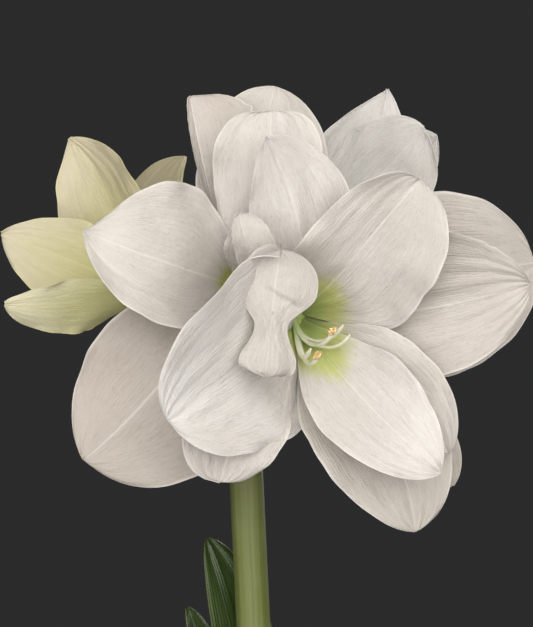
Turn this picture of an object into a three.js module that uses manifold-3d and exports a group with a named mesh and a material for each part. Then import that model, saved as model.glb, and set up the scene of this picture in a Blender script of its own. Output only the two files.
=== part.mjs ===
// A potted double amaryllis: one scape with an umbel of three open white blooms and a fourth, greenish one that
// is still opening, strap leaves and a dry-skinned bulb half sunk in soil, in a plain clay pot.
// Millimetres, +Z up, +X to the right, -Y towards the viewer. The origin is the middle of the pot's underside.
import * as THREE from "three";
import { mergeVertices } from "three/addons/utils/BufferGeometryUtils.js";
import Module from "manifold-3d";

const wasm = await Module();
wasm.setup();

const GAP = 0.3; // clearance between pieces that touch
const WELD = 1e-3; // points nearer than this are one

// Pot and soil
const POT_HEIGHT = 128;
const POT_BASE_R = 57;
const POT_TOP_R = 74;
const POT_RIM_R = 79;
const POT_RIM_HEIGHT = 24;
const POT_WALL = 6;
const POT_FLOOR = 8;
const POT_BEVEL = 1.5;
const DRAIN_R = 5;
const DRAIN_CIRCLE_R = 30;
const DRAIN_ANGLES = [45, 135, 225, 315];
const SOIL_TOP = 113;
const CRUMB_HEIGHT = 0.9;
const TURNED_SIDES = 32;

// Bulb
const NECK_TOP = 178;
const NECK_POCKET = 14; // how deep the leaves and the scape stand in the neck
const SKIN_RIB = 0.018; // how far the dry skins' ribs stand out, as a share of the radius
const BULB_PROFILE = [
  [0, 52],
  [30, 54],
  [42, 62],
  [49, 78],
  [50, 95],
  [46, 114],
  [38, 130],
  [29, 143],
  [25, 158],
  [24, NECK_TOP],
  [0, NECK_TOP],
]; // radius and height, from the underside to the cut top of the neck

// Scape and flower stalks
const SCAPE_BASE = [-0.5, -5, NECK_TOP - NECK_POCKET];
const SCAPE_TOP = [-16, 0, 484];
const SCAPE_BASE_R = 12;
const SCAPE_TOP_R = 10.1;
const SCAPE_FLARE = 1.3; // how much wider it gets under the flower stalks
const SCAPE_SIDES = 20;
const PEDICEL_R = 3.6;
const PEDICEL_CIRCLE_R = 5.6; // where the flower stalks stand on the scape's top
const OVARY_R = 6.6;
const STALK_SIDES = 10;

// Leaves. Each stands in the neck at an angle and a distance from the neck's middle.
const LEAF_THICKNESS = 2.4;
const LEAF_EDGE = 1;
const LEAF_ROOT_WIDTH = 18;
const LEAF_CHANNEL = 16; // half angle of the hollow across
const LEAF_COLUMNS = 4;
const LEAF_ROWS = 11;
const LEAVES = {
  tall: { angle: 112, ring: 16.5, tip: [-36.3, 22, 362], width: 40, lean: 30 },
  short: { angle: 142, ring: 20.8, tip: [-48.2, 12, 321.5], width: 34, lean: 24 },
  right: { angle: 8, ring: 17, tip: [48, 26, 300], width: 34, lean: 30 },
  front: { angle: -42, ring: 20.5, tip: [40, -42, 262], width: 30, lean: 30 },
};

// Blooms
const TEPAL_THICKNESS = 0.8;
const TEPAL_TIP = 0.8; // half the width left at the apex
const ROOT_DEPTH = 2; // how far up the tube a tepal is rooted
const ROOT_R = 5.2; // how far from the bloom's axis a tepal of layer 0 is rooted
const LAYER_STEP = 0.9; // how much nearer to the axis each further layer is rooted
const TUBE_R = 7.5;
const TUBE_LENGTH = 14; // the solid tube that the tepals grow from
const SLIVER = 0.1; // slivers under this, where tepals cross, are merged
const GRIDS = { full: [6, 6], plain: [4, 6], small: [4, 5] }; // columns and rows of a tepal
// The ruffled stamen: depths in mm, and shares of its length from 0 at the hem to 1 at the top
const RUFFLE_CURVE = 24; // half angle of the ruffle across
const RUFFLE_HEM = 0.14; // where the hem begins to narrow
const RUFFLE_HEM_ROUND = 0.12;
const RUFFLE_TOP_ROUND = 0.22;
const RUFFLE_FLARE = 0.28; // the share over which the waist widens into the top
const RUFFLE_FOLDS = 1.1; // how deep its upright folds are
const RUFFLE_LOBE = { start: 0.52, rise: 0.25, edge: 0.22, depth: 1.8, dome: 1.8, middle: 0.35 };
// The lobe's left edge crosses from right to left on the way up
const RUFFLE_LOBE_LINE = { start: 0.55, run: 0.22, low: 1.1, high: -0.25 };
const RUFFLE_FORWARD = 9; // how far the top's left edge leans forward
const RUFFLE_COLUMNS = 10;
const RUFFLE_STATIONS = [0, 0.015, 0.05, 0.12, 0.24, 0.36, 0.46, 0.55, 0.62, 0.68, 0.76, 0.84, 0.92, 0.97, 1];
const TEPAL = {
  width: 60, // across the widest place
  widest: 0.6, // where that is, from the root 0 to the apex 1
  blunt: 0.62, // 0.5 is a round apex, 1 a pointed one
  claw: 4.5, // half the width at the root
  lopsided: 0, // how much wider the right half is than the left, as a share
  layer: 0, // -1 for the outermost tepals, 1 for the inner ones and 2 for the petal-like stamens
  funnel: 44, // how far it runs forward in the funnel before it turns out
  reach: 0.36, // how much of the length bends towards the apex's own direction
  lie: 10, // the apex's direction: 90 straight forward, 0 flat open, negative curled back
  sway: 0, // sideways bow
  roll: 0, // turned about its own length
  cup: 18, // half angle of the hollow across
  fold: 0, // crease along the midrib, positive for a groove on the inner face
  curlRight: 0, // how far the right edge turns inwards
  wave: 2, // height of the waved margin
  phase: 0, // where the waves start
  grid: "full",
};
const WAVES = 2; // along each margin

// Each apex is a real place in the part's frame. mouth is how far from the axis the funnel's wall runs.
// waist and shoulder bend a petal-like stamen away from the funnel, with its width level.
const BLOOMS = {
  right: {
    base: [14, -38, 499],
    axis: [0.3, -0.93, -0.16],
    mouth: 15,
    stalkAngle: -20,
    tepals: {
      upperRight: {
        apex: [81.5, -118, 571], width: 76, lie: 21, fold: 8, sway: 7, roll: -12,
        lopsided: -0.17, widest: 0.5, blunt: 0.36, layer: 1,
      },
      right: {
        apex: [145.5, -80, 516.5], width: 90, lie: 9, cup: 12, fold: 12, sway: -4, roll: -5,
        lopsided: 0.11, widest: 0.47, blunt: 0.64, phase: 0.2,
      },
      rightBack: {
        apex: [153, -48, 529], width: 103, lie: -6, cup: 12, sway: 9, roll: -12,
        widest: 0.57, blunt: 0.54, layer: -1, phase: 0.5,
      },
      lowerRight: {
        apex: [92.5, -118, 416], width: 57, lie: 12, cup: 14, sway: -13,
        blunt: 0.69, curlRight: 18, layer: 1, phase: 0.7,
      },
      lowerRightMid: { apex: [99, -92, 424], width: 62, lie: 8, cup: 8, roll: 14, phase: 0.1 },
      lowerBack: {
        apex: [82, -82, 380], width: 75, lie: 1, cup: 12, sway: 17, roll: 5,
        lopsided: -0.1, widest: 0.52, blunt: 0.58, phase: 0.35,
      },
      lowerRightBack: { apex: [103.9, -66, 403.4], width: 50, lie: -5, cup: 12, layer: -1, grid: "plain" },
      leftFront: {
        apex: [-51.5, -132, 444.5], width: 111, lie: 10, cup: 14, fold: 8, sway: -7, roll: -10,
        lopsided: -0.1, widest: 0.42, blunt: 0.44, layer: 1,
      },
      lowerLeftBack: {
        apex: [-25, -100, 409], width: 60, lie: -4, cup: 10, sway: -18,
        lopsided: -0.12, widest: 0.7, blunt: 0.39, phase: 0.45,
      },
      top: {
        apex: [-0.5, -108, 594], width: 63, lie: 12, cup: 12, fold: -22, sway: -14, roll: -8,
        lopsided: -0.16, widest: 0.52, blunt: 0.78, phase: 0.15,
      },
      curlTop: {
        apex: [-15, -106, 553.5], waist: [-6, -80, 512], shoulder: [-9, -110, 530], width: 25, claw: 2.5,
        cup: 4, fold: 8, lopsided: 0.35, widest: 0.42, blunt: 0.36, layer: 2, wave: 1, grid: "small",
      },
      curlClaw: {
        apex: [3, -116.2, 500.5], width: 11, funnel: 16, mouth: 13, cup: 0, blunt: 0.3,
        layer: 2, wave: 0, grid: "small",
      },
    },
    ruffle: {
      spine: [[-0.8, -124, 467], [3, -127, 486], [2, -104, 504], [7.5, -120, 534]],
      hem: 31,
      waist: 18,
      top: 47,
      waistAt: 0.46,
    },
  },
  left: {
    base: [-12, -22, 514],
    axis: [-0.16, -0.96, 0.1],
    mouth: 10,
    stalkAngle: -110,
    tepals: {
      left: {
        apex: [-99.5, -92, 545], width: 82, lie: -8, cup: 20, sway: 5, roll: 12,
        lopsided: -0.13, widest: 0.53, blunt: 0.95, layer: 1, phase: 0.1,
      },
      lowerLeft: {
        apex: [-103, -60, 417.5], width: 101, lie: -8, cup: 14, fold: -12, sway: 12, roll: -6,
        lopsided: 0.09, widest: 0.57, blunt: 0.57, phase: 0.4,
      },
      topLeft: {
        apex: [-44, -40, 625], width: 42, lie: 1, cup: 12, sway: 4, roll: 12,
        lopsided: -0.82, widest: 0.75, blunt: 0.36, phase: 0.8,
      },
      topRight: {
        apex: [5, -34, 631.5], width: 76, lie: 1, sway: 4, lopsided: -0.12,
        blunt: 0.55, layer: -1, phase: 0.3,
      },
      topInner: {
        apex: [2.5, -76, 612.5], width: 62, lie: 16, cup: 12, sway: -10,
        widest: 0.75, blunt: 0.28, layer: 1, phase: 0.2,
      },
      leftBack: { apex: [-84, -36, 540], width: 56, lie: -10, cup: 14, layer: -1, grid: "plain", phase: 0.65 },
      low: { apex: [-43.6, -50, 411], width: 62, lie: 0, cup: 14, layer: -1, grid: "plain", phase: 0.55 },
      innerSmall: { apex: [-6, -82, 556], width: 26, lie: 50, cup: 30, layer: 2, grid: "small", wave: 1 },
    },
  },
  opening: {
    base: [-58, 15, 503],
    axis: [-0.82, -0.3, 0.48],
    mouth: 9.5,
    stalkAngle: 160,
    tepals: {
      upright: {
        apex: [-123.3, 45, 610.2], width: 66, lie: 62, cup: 16, fold: 12, sway: -2, roll: 18,
        lopsided: 0.1, widest: 0.57, blunt: 0.9, funnel: 40, phase: 0.1,
      },
      left: {
        apex: [-163, 25, 548.5], width: 56, lie: 61, cup: 16, fold: 8, sway: -3, roll: -6,
        lopsided: 0.09, widest: 0.53, blunt: 0.79, funnel: 40, layer: 1, phase: 0.5,
      },
      low: {
        apex: [-150, -45, 505.5], width: 35, lie: 69, cup: 30, sway: 4, roll: 48,
        lopsided: -0.18, widest: 0.54, blunt: 0.65, funnel: 40, phase: 0.8,
      },
      far: {
        apex: [-51.4, 60, 599.8], width: 62, lie: 11, cup: 22, sway: 25, roll: 7,
        lopsided: 0.63, widest: 0.73, blunt: 0.66, funnel: 40, layer: 1, phase: 0.3,
      },
      farLow: { apex: [-140, 72, 508], width: 54, lie: 55, cup: 24, funnel: 40, grid: "plain", phase: 0.6 },
      innerFront: { apex: [-98, 12, 548], width: 32, lie: 80, cup: 36, funnel: 30, layer: 2, grid: "small" },
      innerBack: { apex: [-96, 30, 540], width: 32, lie: 80, cup: 36, funnel: 30, layer: 2, grid: "small" },
    },
  },
  back: {
    base: [8, 30, 522],
    axis: [0.58, 0.62, 0.4],
    mouth: 12,
    stalkAngle: 70,
    tepals: {
      topLeft: {
        apex: [74, 18, 637], width: 64, lie: 11, sway: 11, roll: 12,
        lopsided: -0.19, widest: 0.53, blunt: 1, phase: 0.2,
      },
      top: {
        apex: [95.5, 8, 612], width: 71, lie: 11, cup: 20, sway: -4,
        widest: 0.58, blunt: 0.55, layer: -1, phase: 0.4,
      },
      topRight: { apex: [106, 36, 610.5], width: 55, lie: 15, sway: -7, blunt: 0.72, layer: 1, phase: 0.7 },
      farLeft: { apex: [30, 120, 616], width: 64, lie: 0, layer: 1, grid: "plain", phase: 0.3 },
      far: { apex: [62, 148, 560], width: 66, lie: 0, grid: "plain", phase: 0.6 },
      farLow: { apex: [72, 112, 468], width: 66, lie: -4, cup: 16, layer: 1, grid: "plain", phase: 0.1 },
      right: { apex: [126, 52, 520], width: 66, lie: -4, cup: 16, grid: "plain", phase: 0.5 },
      innerHigh: { apex: [74, 92, 590], width: 40, lie: 35, cup: 24, layer: 2, grid: "small", phase: 0.2 },
      innerLow: { apex: [88, 92, 530], width: 40, lie: 35, cup: 24, layer: 2, grid: "small", phase: 0.5 },
    },
  },
};

// Stamens and style of the right bloom, by the places of their tips
const STAMENS = [
  { tip: [41.3, -100, 493.8], anther: false },
  { tip: [45, -98, 488.4], anther: false },
  { tip: [36, -104, 490], anther: true },
  { tip: [27.8, -106, 477], anther: true },
  { tip: [24, -98, 481], anther: false },
];
const STAMEN_DISC_R = 2.4;
const STAMEN_DISC_HEIGHT = 3.7;
const FILAMENT_R = 0.9;
const FILAMENT_SAG = 17;
const FILAMENT_DROP = [-5, 0, -12]; // how they bend aside and down as they leave the throat
const ANTHER_R = 1.6;
const ANTHER_HALF = [2.2, 0, 1.6]; // from an anther's middle to its end

const { degToRad, radToDeg, lerp } = THREE.MathUtils;
const vec = (a) => new THREE.Vector3(...a);
const RIGHT = vec([1, 0, 0]);
const evenly = (steps) => Array.from({ length: steps + 1 }, (_, i) => i / steps);
const closerAtApex = (rows) => evenly(rows).map((share) => 1 - (1 - share) ** 1.3);

function smooth(x) {
  const c = Math.min(Math.max(x, 0), 1);
  return c * c * (3 - 2 * c);
}

// A geometry's triangles as a solid that can be cut and joined.
function solidOf(geometry) {
  const bare = new THREE.BufferGeometry().setAttribute("position", geometry.getAttribute("position"));
  bare.setIndex(geometry.index);
  const merged = mergeVertices(bare, WELD);
  const corners = merged.index.array;
  const kept = [];
  for (let i = 0; i < corners.length; i += 3) {
    const [a, b, c] = [corners[i], corners[i + 1], corners[i + 2]];
    if (a !== b && b !== c && a !== c) kept.push(a, b, c);
  }
  return new wasm.Manifold(
    new wasm.Mesh({
      numProp: 3,
      vertProperties: new Float32Array(merged.attributes.position.array),
      triVerts: new Uint32Array(kept),
    }),
  );
}

// The largest body of a solid, without its sealed hollows and loose scraps, as a geometry.
function geometryOf(solid) {
  const bodies = solid.decompose().sort((a, b) => b.volume() - a.volume());
  const mesh = bodies[0].getMesh();
  const places = new Float32Array(mesh.numVert * 3);
  for (let i = 0; i < mesh.numVert; i++) {
    const first = i * mesh.numProp;
    places.set(mesh.vertProperties.subarray(first, first + 3), i * 3);
  }
  const geometry = new THREE.BufferGeometry();
  geometry.setAttribute("position", new THREE.BufferAttribute(places, 3));
  geometry.setIndex(new THREE.BufferAttribute(new Uint32Array(mesh.triVerts), 1));
  geometry.computeVertexNormals();
  return geometry;
}

// A closed skin through rings of points, which run counter-clockwise about the way from first ring to last.
// The first half of each ring is one face and the second half the other, and both are split into triangles alike.
// The ends are closed by ladders between the two faces.
function loft(rings) {
  const count = rings[0].length;
  const half = count / 2;
  const places = rings.flat().flatMap((p) => [p.x, p.y, p.z]);
  const faces = [];
  for (let row = 0; row + 1 < rings.length; row++) {
    for (let i = 0; i < count; i++) {
      const a = row * count + i;
      const b = row * count + ((i + 1) % count);
      const [c, d] = [a + count, b + count];
      if (i < half) faces.push(a, b, d, a, d, c);
      else faces.push(a, b, c, b, d, c);
    }
  }
  const last = (rings.length - 1) * count;
  for (let i = 0; i + 1 < half; i++) {
    const [a, b, c, d] = [i, i + 1, count - 2 - i, count - 1 - i];
    faces.push(a, d, c, a, c, b);
    faces.push(last + a, last + b, last + c, last + a, last + c, last + d);
  }
  const geometry = new THREE.BufferGeometry();
  geometry.setAttribute("position", new THREE.Float32BufferAttribute(places, 3));
  geometry.setIndex(faces);
  return geometry;
}

// A round stalk along a curve, with a ring at each station. radius(t, angle) gives its size there.
function stalk(curve, stations, radius, sides) {
  let normal = new THREE.Vector3(0.31, 0.87, 0.38);
  const rings = stations.map((t) => {
    const at = curve.getPointAt(t);
    const along = curve.getTangentAt(t);
    normal = normal.clone().addScaledVector(along, -normal.dot(along)).normalize();
    const binormal = along.clone().cross(normal);
    return Array.from({ length: sides }, (_, side) => {
      const angle = (2 * Math.PI * side) / sides;
      const r = radius(t, angle);
      const out = at.clone().addScaledVector(normal, r * Math.cos(angle));
      return out.addScaledVector(binormal, r * Math.sin(angle));
    });
  });
  return loft(rings);
}

// A solid turned about the upright axis, from [radius, height] points, which relief(x, y, z) may move.
function turned(points, relief = (x, y, z) => [x, y, z]) {
  const outlinePoints = points.map(([r, z]) => new THREE.Vector2(r, z));
  const geometry = new THREE.LatheGeometry(outlinePoints, TURNED_SIDES).rotateX(Math.PI / 2);
  const place = geometry.attributes.position;
  for (let i = 0; i < place.count; i++) {
    place.setXYZ(i, ...relief(place.getX(i), place.getY(i), place.getZ(i)));
  }
  return solidOf(geometry);
}

// The middle surface of a blade at t, from root 0 to apex 1, and s, from one edge -1 to the other 1. The blade's
// section is the sum of short steps, each turned by the blade's own bend there.
function bladePoint(blade, t, s) {
  const along = blade.spine.getTangent(t);
  const side = blade.across
    .clone()
    .addScaledVector(along, -blade.across.dot(along))
    .normalize()
    .applyAxisAngle(along, degToRad(blade.roll) * smooth(t / 0.45));
  const inner = along.clone().cross(side);
  const lopsided = 1 + blade.lopsided * Math.sign(s) * smooth(t / 0.4);
  const steps = 10;
  const step = (blade.halfWidth(t) * lopsided * s) / steps;
  let [out, up] = [0, blade.relief(t, s)];
  for (let i = 0; i < steps; i++) {
    const angle = blade.bend(t, (s * (i + 0.5)) / steps);
    out += Math.cos(angle) * step;
    up += Math.sin(angle) * step;
  }
  return blade.spine.getPoint(t).addScaledVector(side, out).addScaledVector(inner, up);
}

// A closed blade: its middle surface with half of thickness(t, s) on each face, with a ring at each station.
function bladeGeometry(blade, columns, stations, thickness) {
  const nudge = 1e-3;
  const rings = [];
  for (const t of stations) {
    const [t0, t1] = [Math.max(t - nudge, 0), Math.min(t + nudge, 1)];
    const front = [];
    const back = [];
    for (let column = 0; column <= columns; column++) {
      const s = (2 * column) / columns - 1;
      const [s0, s1] = [Math.max(s - nudge, -1), Math.min(s + nudge, 1)];
      const byT = bladePoint(blade, t1, s).sub(bladePoint(blade, t0, s));
      const byS = bladePoint(blade, t, s1).sub(bladePoint(blade, t, s0));
      const normal = byT.cross(byS).normalize();
      const half = thickness(t, s) / 2;
      const middle = bladePoint(blade, t, s);
      front.push(middle.clone().addScaledVector(normal, half));
      back.push(middle.clone().addScaledVector(normal, -half));
    }
    rings.push([...back, ...front.reverse()]);
  }
  return loft(rings);
}

// Pot
const potOuterR = (z) => lerp(POT_BASE_R, POT_TOP_R, z / POT_HEIGHT);
const potInnerR = (z) => potOuterR(z) - POT_WALL;

function potSolid() {
  const lipZ = POT_HEIGHT - POT_RIM_HEIGHT;
  const body = turned([
    [0, 0],
    [POT_BASE_R - POT_BEVEL, 0],
    [POT_BASE_R, POT_BEVEL],
    [potOuterR(lipZ), lipZ],
    [POT_RIM_R - 2 * POT_BEVEL, lipZ],
    [POT_RIM_R - POT_BEVEL, lipZ + POT_BEVEL],
    [POT_RIM_R, POT_HEIGHT - 2 * POT_BEVEL],
    [POT_RIM_R - POT_BEVEL, POT_HEIGHT],
    [potInnerR(POT_HEIGHT) + POT_BEVEL, POT_HEIGHT],
    [potInnerR(POT_HEIGHT), POT_HEIGHT - POT_BEVEL],
    [potInnerR(POT_FLOOR), POT_FLOOR],
    [0, POT_FLOOR],
  ]);
  const holes = DRAIN_ANGLES.map((degrees) => {
    const x = DRAIN_CIRCLE_R * Math.cos(degToRad(degrees));
    const y = DRAIN_CIRCLE_R * Math.sin(degToRad(degrees));
    const bore = new THREE.LineCurve3(new THREE.Vector3(x, y, -1), new THREE.Vector3(x, y, POT_FLOOR + 1));
    return solidOf(stalk(bore, evenly(1), () => DRAIN_R, STALK_SIDES));
  });
  return body.subtract(wasm.Manifold.union(holes));
}

// Bulb, with its dry outer skins in low ribs above the soil
function bulbRadius(z) {
  const above = BULB_PROFILE.findIndex(([, height]) => height >= z);
  const [[r0, z0], [r1, z1]] = [BULB_PROFILE[above - 1], BULB_PROFILE[above]];
  return lerp(r0, r1, (z - z0) / (z1 - z0));
}

function bulbSolid() {
  return turned(BULB_PROFILE, (x, y, z) => {
    const around = Math.atan2(y, x);
    const ribs = Math.sin(5 * around + z / 30) + Math.sin(9 * around - z / 22);
    const grown = 1 + SKIN_RIB * smooth((z - SOIL_TOP - 4) / 10) * ribs;
    return [x * grown, y * grown, z];
  });
}

// Loose soil in the pot, up to a crumbly top, with a plain hole where the bulb sits
function soilSolid() {
  const floor = POT_FLOOR + GAP;
  const outerR = potInnerR(SOIL_TOP) - GAP;
  const holeR = bulbRadius(SOIL_TOP) + GAP;
  const top = evenly(4).map((share) => [lerp(outerR, holeR, share), SOIL_TOP]);
  const buried = BULB_PROFILE.filter(([, z]) => z < SOIL_TOP).reverse();
  const hole = buried.map(([r, z]) => (r > 0 ? [r + GAP, z] : [0, z - GAP]));
  return turned([[0, floor], [potInnerR(floor) - GAP, floor], ...top, ...hole], (x, y, z) => {
    if (z < SOIL_TOP) return [x, y, z];
    const height = z + CRUMB_HEIGHT * (Math.sin(x / 4.1 + y / 9) + Math.cos(y / 4.7 - x / 7));
    const r = Math.hypot(x, y);
    const moved = r < holeR + WELD ? bulbRadius(height) + GAP : r;
    return [(x * moved) / r, (y * moved) / r, height];
  });
}

// Scape, which widens a little where the flower stalks stand on it
const scapeLine = new THREE.LineCurve3(vec(SCAPE_BASE), vec(SCAPE_TOP));

function scapeGeometry(extra = 0) {
  const radius = (t) => {
    const taper = lerp(SCAPE_BASE_R, SCAPE_TOP_R, Math.min(t / 0.45, 1));
    const flare = smooth((t - 0.93) / 0.05) - smooth((t - 0.98) / 0.02);
    return taper + SCAPE_FLARE * flare + extra;
  };
  return stalk(scapeLine, [0, 0.05, 0.25, 0.45, 0.7, 0.93, 0.955, 0.98, 1], radius, SCAPE_SIDES);
}

// Strap leaves, hollowed across, from their pockets in the neck to the tip
function leafBlade({ angle, ring, tip, width, lean }) {
  const outward = new THREE.Vector3(Math.cos(degToRad(angle)), Math.sin(degToRad(angle)), 0);
  const up = new THREE.Vector3(0, 0, 1);
  const root = outward.clone().multiplyScalar(ring).setZ(NECK_TOP - NECK_POCKET);
  const end = vec(tip);
  const length = end.distanceTo(root);
  const level = end.clone().sub(root).setZ(0).normalize();
  const rise = level.multiplyScalar(Math.sin(degToRad(lean))).addScaledVector(up, Math.cos(degToRad(lean)));
  const spine = new THREE.CubicBezierCurve3(
    root,
    root.clone().addScaledVector(up, length * 0.4),
    end.clone().addScaledVector(rise, -length * 0.3),
    end,
  );
  const halfWidth = (t) => {
    const tipShare = (1 - Math.max((t - 0.55) / 0.45, 0) ** 2.2) ** 0.6;
    return Math.max(lerp(LEAF_ROOT_WIDTH / 2, width / 2, smooth((t - 0.08) / 0.5)) * tipShare, LEAF_EDGE);
  };
  const rootBend = radToDeg(LEAF_ROOT_WIDTH / 2 / ring);
  const bend = (t, s) => degToRad(lerp(rootBend, LEAF_CHANNEL, smooth(t / 0.5)) * s);
  return { spine, across: up.cross(outward), roll: 0, lopsided: 0, halfWidth, bend, relief: () => 0 };
}

function leafGeometry(leaf, extra = 0) {
  const blade = leafBlade(leaf);
  const grown = { ...blade, halfWidth: (t) => blade.halfWidth(t) + extra };
  const thickness = (t, s) => lerp(LEAF_THICKNESS, LEAF_EDGE, s ** 2) + 2 * extra;
  return bladeGeometry(grown, LEAF_COLUMNS, closerAtApex(LEAF_ROWS), thickness);
}

// Flower stalk with the lobed ovary at its end, from the scape's top to a bloom's base
function pedicelGeometry(bloom) {
  const along = scapeLine.getTangent(1);
  const angle = degToRad(bloom.stalkAngle);
  const aside = new THREE.Vector3(Math.cos(angle), Math.sin(angle), 0);
  aside.addScaledVector(along, -aside.dot(along)).normalize();
  const foot = vec(SCAPE_TOP).addScaledVector(along, GAP).addScaledVector(aside, PEDICEL_CIRCLE_R);
  const axis = vec(bloom.axis).normalize();
  const end = vec(bloom.base).addScaledVector(axis, -GAP);
  const reach = foot.distanceTo(end);
  const curve = new THREE.CubicBezierCurve3(
    foot,
    foot.clone().addScaledVector(along, reach * 0.35),
    end.clone().addScaledVector(axis, -reach * 0.5),
    end,
  );
  const radius = (t, turn) => {
    const swell = smooth((t - 0.5) / 0.25) * (1 - 0.35 * smooth((t - 0.85) / 0.15));
    return PEDICEL_R + (OVARY_R - PEDICEL_R) * swell * (1 + 0.25 * Math.cos(3 * turn));
  };
  return stalk(curve, evenly(8), radius, STALK_SIDES);
}

// Half the width along a tepal: a narrow claw, the widest place, and a rounded or pointed apex
function tepalHalfWidth({ width, claw, widest, blunt }, t) {
  if (t < widest) return lerp(claw, width / 2, Math.sin((Math.PI / 2) * (t / widest)) ** 2);
  const past = (t - widest) / (1 - widest);
  return Math.max((width / 2) * (1 - past ** 2.3) ** blunt, TEPAL_TIP);
}

// A tepal, from its apex and its bloom's base and axis. It runs forward in the funnel and then turns out.
function tepalBlade(bloom, p) {
  const base = vec(bloom.base);
  const axis = vec(bloom.axis).normalize();
  const apex = vec(p.apex);
  const span = apex.clone().sub(base);
  const radial = span.clone().addScaledVector(axis, -span.dot(axis)).normalize();
  const across = axis.clone().cross(radial);
  const rootR = ROOT_R - LAYER_STEP * p.layer;
  const handle = p.reach * span.length();
  const from = (start, a, r, side) =>
    start.clone().addScaledVector(axis, a).addScaledVector(radial, r).addScaledVector(across, side);
  const spine = new THREE.CubicBezierCurve3(
    from(base, ROOT_DEPTH, rootR, 0),
    p.waist ? vec(p.waist) : from(base, p.funnel, (p.mouth ?? bloom.mouth) + rootR - ROOT_R, p.sway / 3),
    p.shoulder
      ? vec(p.shoulder)
      : from(apex, -handle * Math.sin(degToRad(p.lie)), -handle * Math.cos(degToRad(p.lie)), p.sway),
    apex,
  );
  const rootBend = radToDeg(p.claw / rootR);
  const bend = (t, s) => {
    const open = smooth(t / 0.4);
    const edge = s > 0 ? smooth((s - 0.35) / 0.65) * smooth((t - 0.1) / 0.35) : 0;
    return degToRad(lerp(rootBend, p.cup, open) * s + p.fold * open * Math.tanh(s / 0.1) + p.curlRight * edge);
  };
  const relief = (t, s) => {
    const margin = Math.abs(s) ** 2.4 * smooth((t - 0.15) / 0.35);
    return p.wave * margin * Math.sin(2 * Math.PI * (WAVES * t + p.phase) + 1.9 * s);
  };
  const halfWidth = (t) => tepalHalfWidth(p, t);
  return { spine, across: p.waist ? RIGHT : across, roll: p.roll, lopsided: p.lopsided, halfWidth, bend, relief };
}

// The ruffled petal-like stamen beside the throat: a skirt, a waist, and a wider top with one lobe folded forward
function ruffleBlade({ spine, hem, waist, top, waistAt }) {
  const halfWidth = (t) => {
    const low = lerp(hem, waist, smooth((t - RUFFLE_HEM) / (waistAt - RUFFLE_HEM)));
    const high = lerp(waist, top, smooth((t - waistAt) / RUFFLE_FLARE));
    const hemEnd = 1 - Math.max(1 - t / RUFFLE_HEM_ROUND, 0) ** 3;
    const topEnd = 1 - Math.max(1 - (1 - t) / RUFFLE_TOP_ROUND, 0) ** 2.2;
    return Math.max(((t < waistAt ? low : high) / 2) * Math.sqrt(Math.min(hemEnd, topEnd)), TEPAL_TIP);
  };
  const relief = (t, s) => {
    const ruffled = RUFFLE_FOLDS * (0.3 + smooth(Math.abs(t - waistAt) / 0.4));
    const folds = ruffled * Math.cos(2 * Math.PI * (0.95 * s + 0.12) + 2.2 * t);
    const crossing = smooth((t - RUFFLE_LOBE_LINE.start) / RUFFLE_LOBE_LINE.run);
    const lobeEdge = lerp(RUFFLE_LOBE_LINE.low, RUFFLE_LOBE_LINE.high, crossing);
    const rising = smooth((t - RUFFLE_LOBE.start) / RUFFLE_LOBE.rise);
    const lobe = smooth((s - lobeEdge) / RUFFLE_LOBE.edge) * rising;
    const domed = 1 - ((s - RUFFLE_LOBE.middle) / (1 - RUFFLE_LOBE.middle)) ** 2;
    const bulge = lobe * (RUFFLE_LOBE.depth + RUFFLE_LOBE.dome * domed);
    const forward = RUFFLE_FORWARD * Math.max(-s, 0) * smooth((t - waistAt) / RUFFLE_FLARE);
    return folds * (1 - lobe) - bulge - forward;
  };
  const bend = (t, s) => degToRad(RUFFLE_CURVE * s);
  const curve = new THREE.CubicBezierCurve3(...spine.map(vec));
  return { spine: curve, across: RIGHT, roll: 0, lopsided: 0, halfWidth, bend, relief };
}

// A bloom: its tepals, fused at their roots in a short solid tube
function bloomSolid(bloom) {
  const base = vec(bloom.base);
  const axis = vec(bloom.axis).normalize();
  const tubeLine = new THREE.LineCurve3(base, base.clone().addScaledVector(axis, TUBE_LENGTH));
  const tube = stalk(tubeLine, evenly(2), (t) => lerp(TUBE_R - 1.5, TUBE_R, t), STALK_SIDES);
  const tepals = Object.values(bloom.tepals).map((given) => {
    const tepal = { ...TEPAL, ...given };
    const [columns, rows] = GRIDS[tepal.grid];
    return bladeGeometry(tepalBlade(bloom, tepal), columns, closerAtApex(rows), () => TEPAL_THICKNESS);
  });
  const ruffles = [bloom.ruffle].filter(Boolean).map((ruffle) =>
    bladeGeometry(ruffleBlade(ruffle), RUFFLE_COLUMNS, RUFFLE_STATIONS, () => TEPAL_THICKNESS),
  );
  return wasm.Manifold.union([tube, ...tepals, ...ruffles].map(solidOf)).simplify(SLIVER);
}

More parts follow.
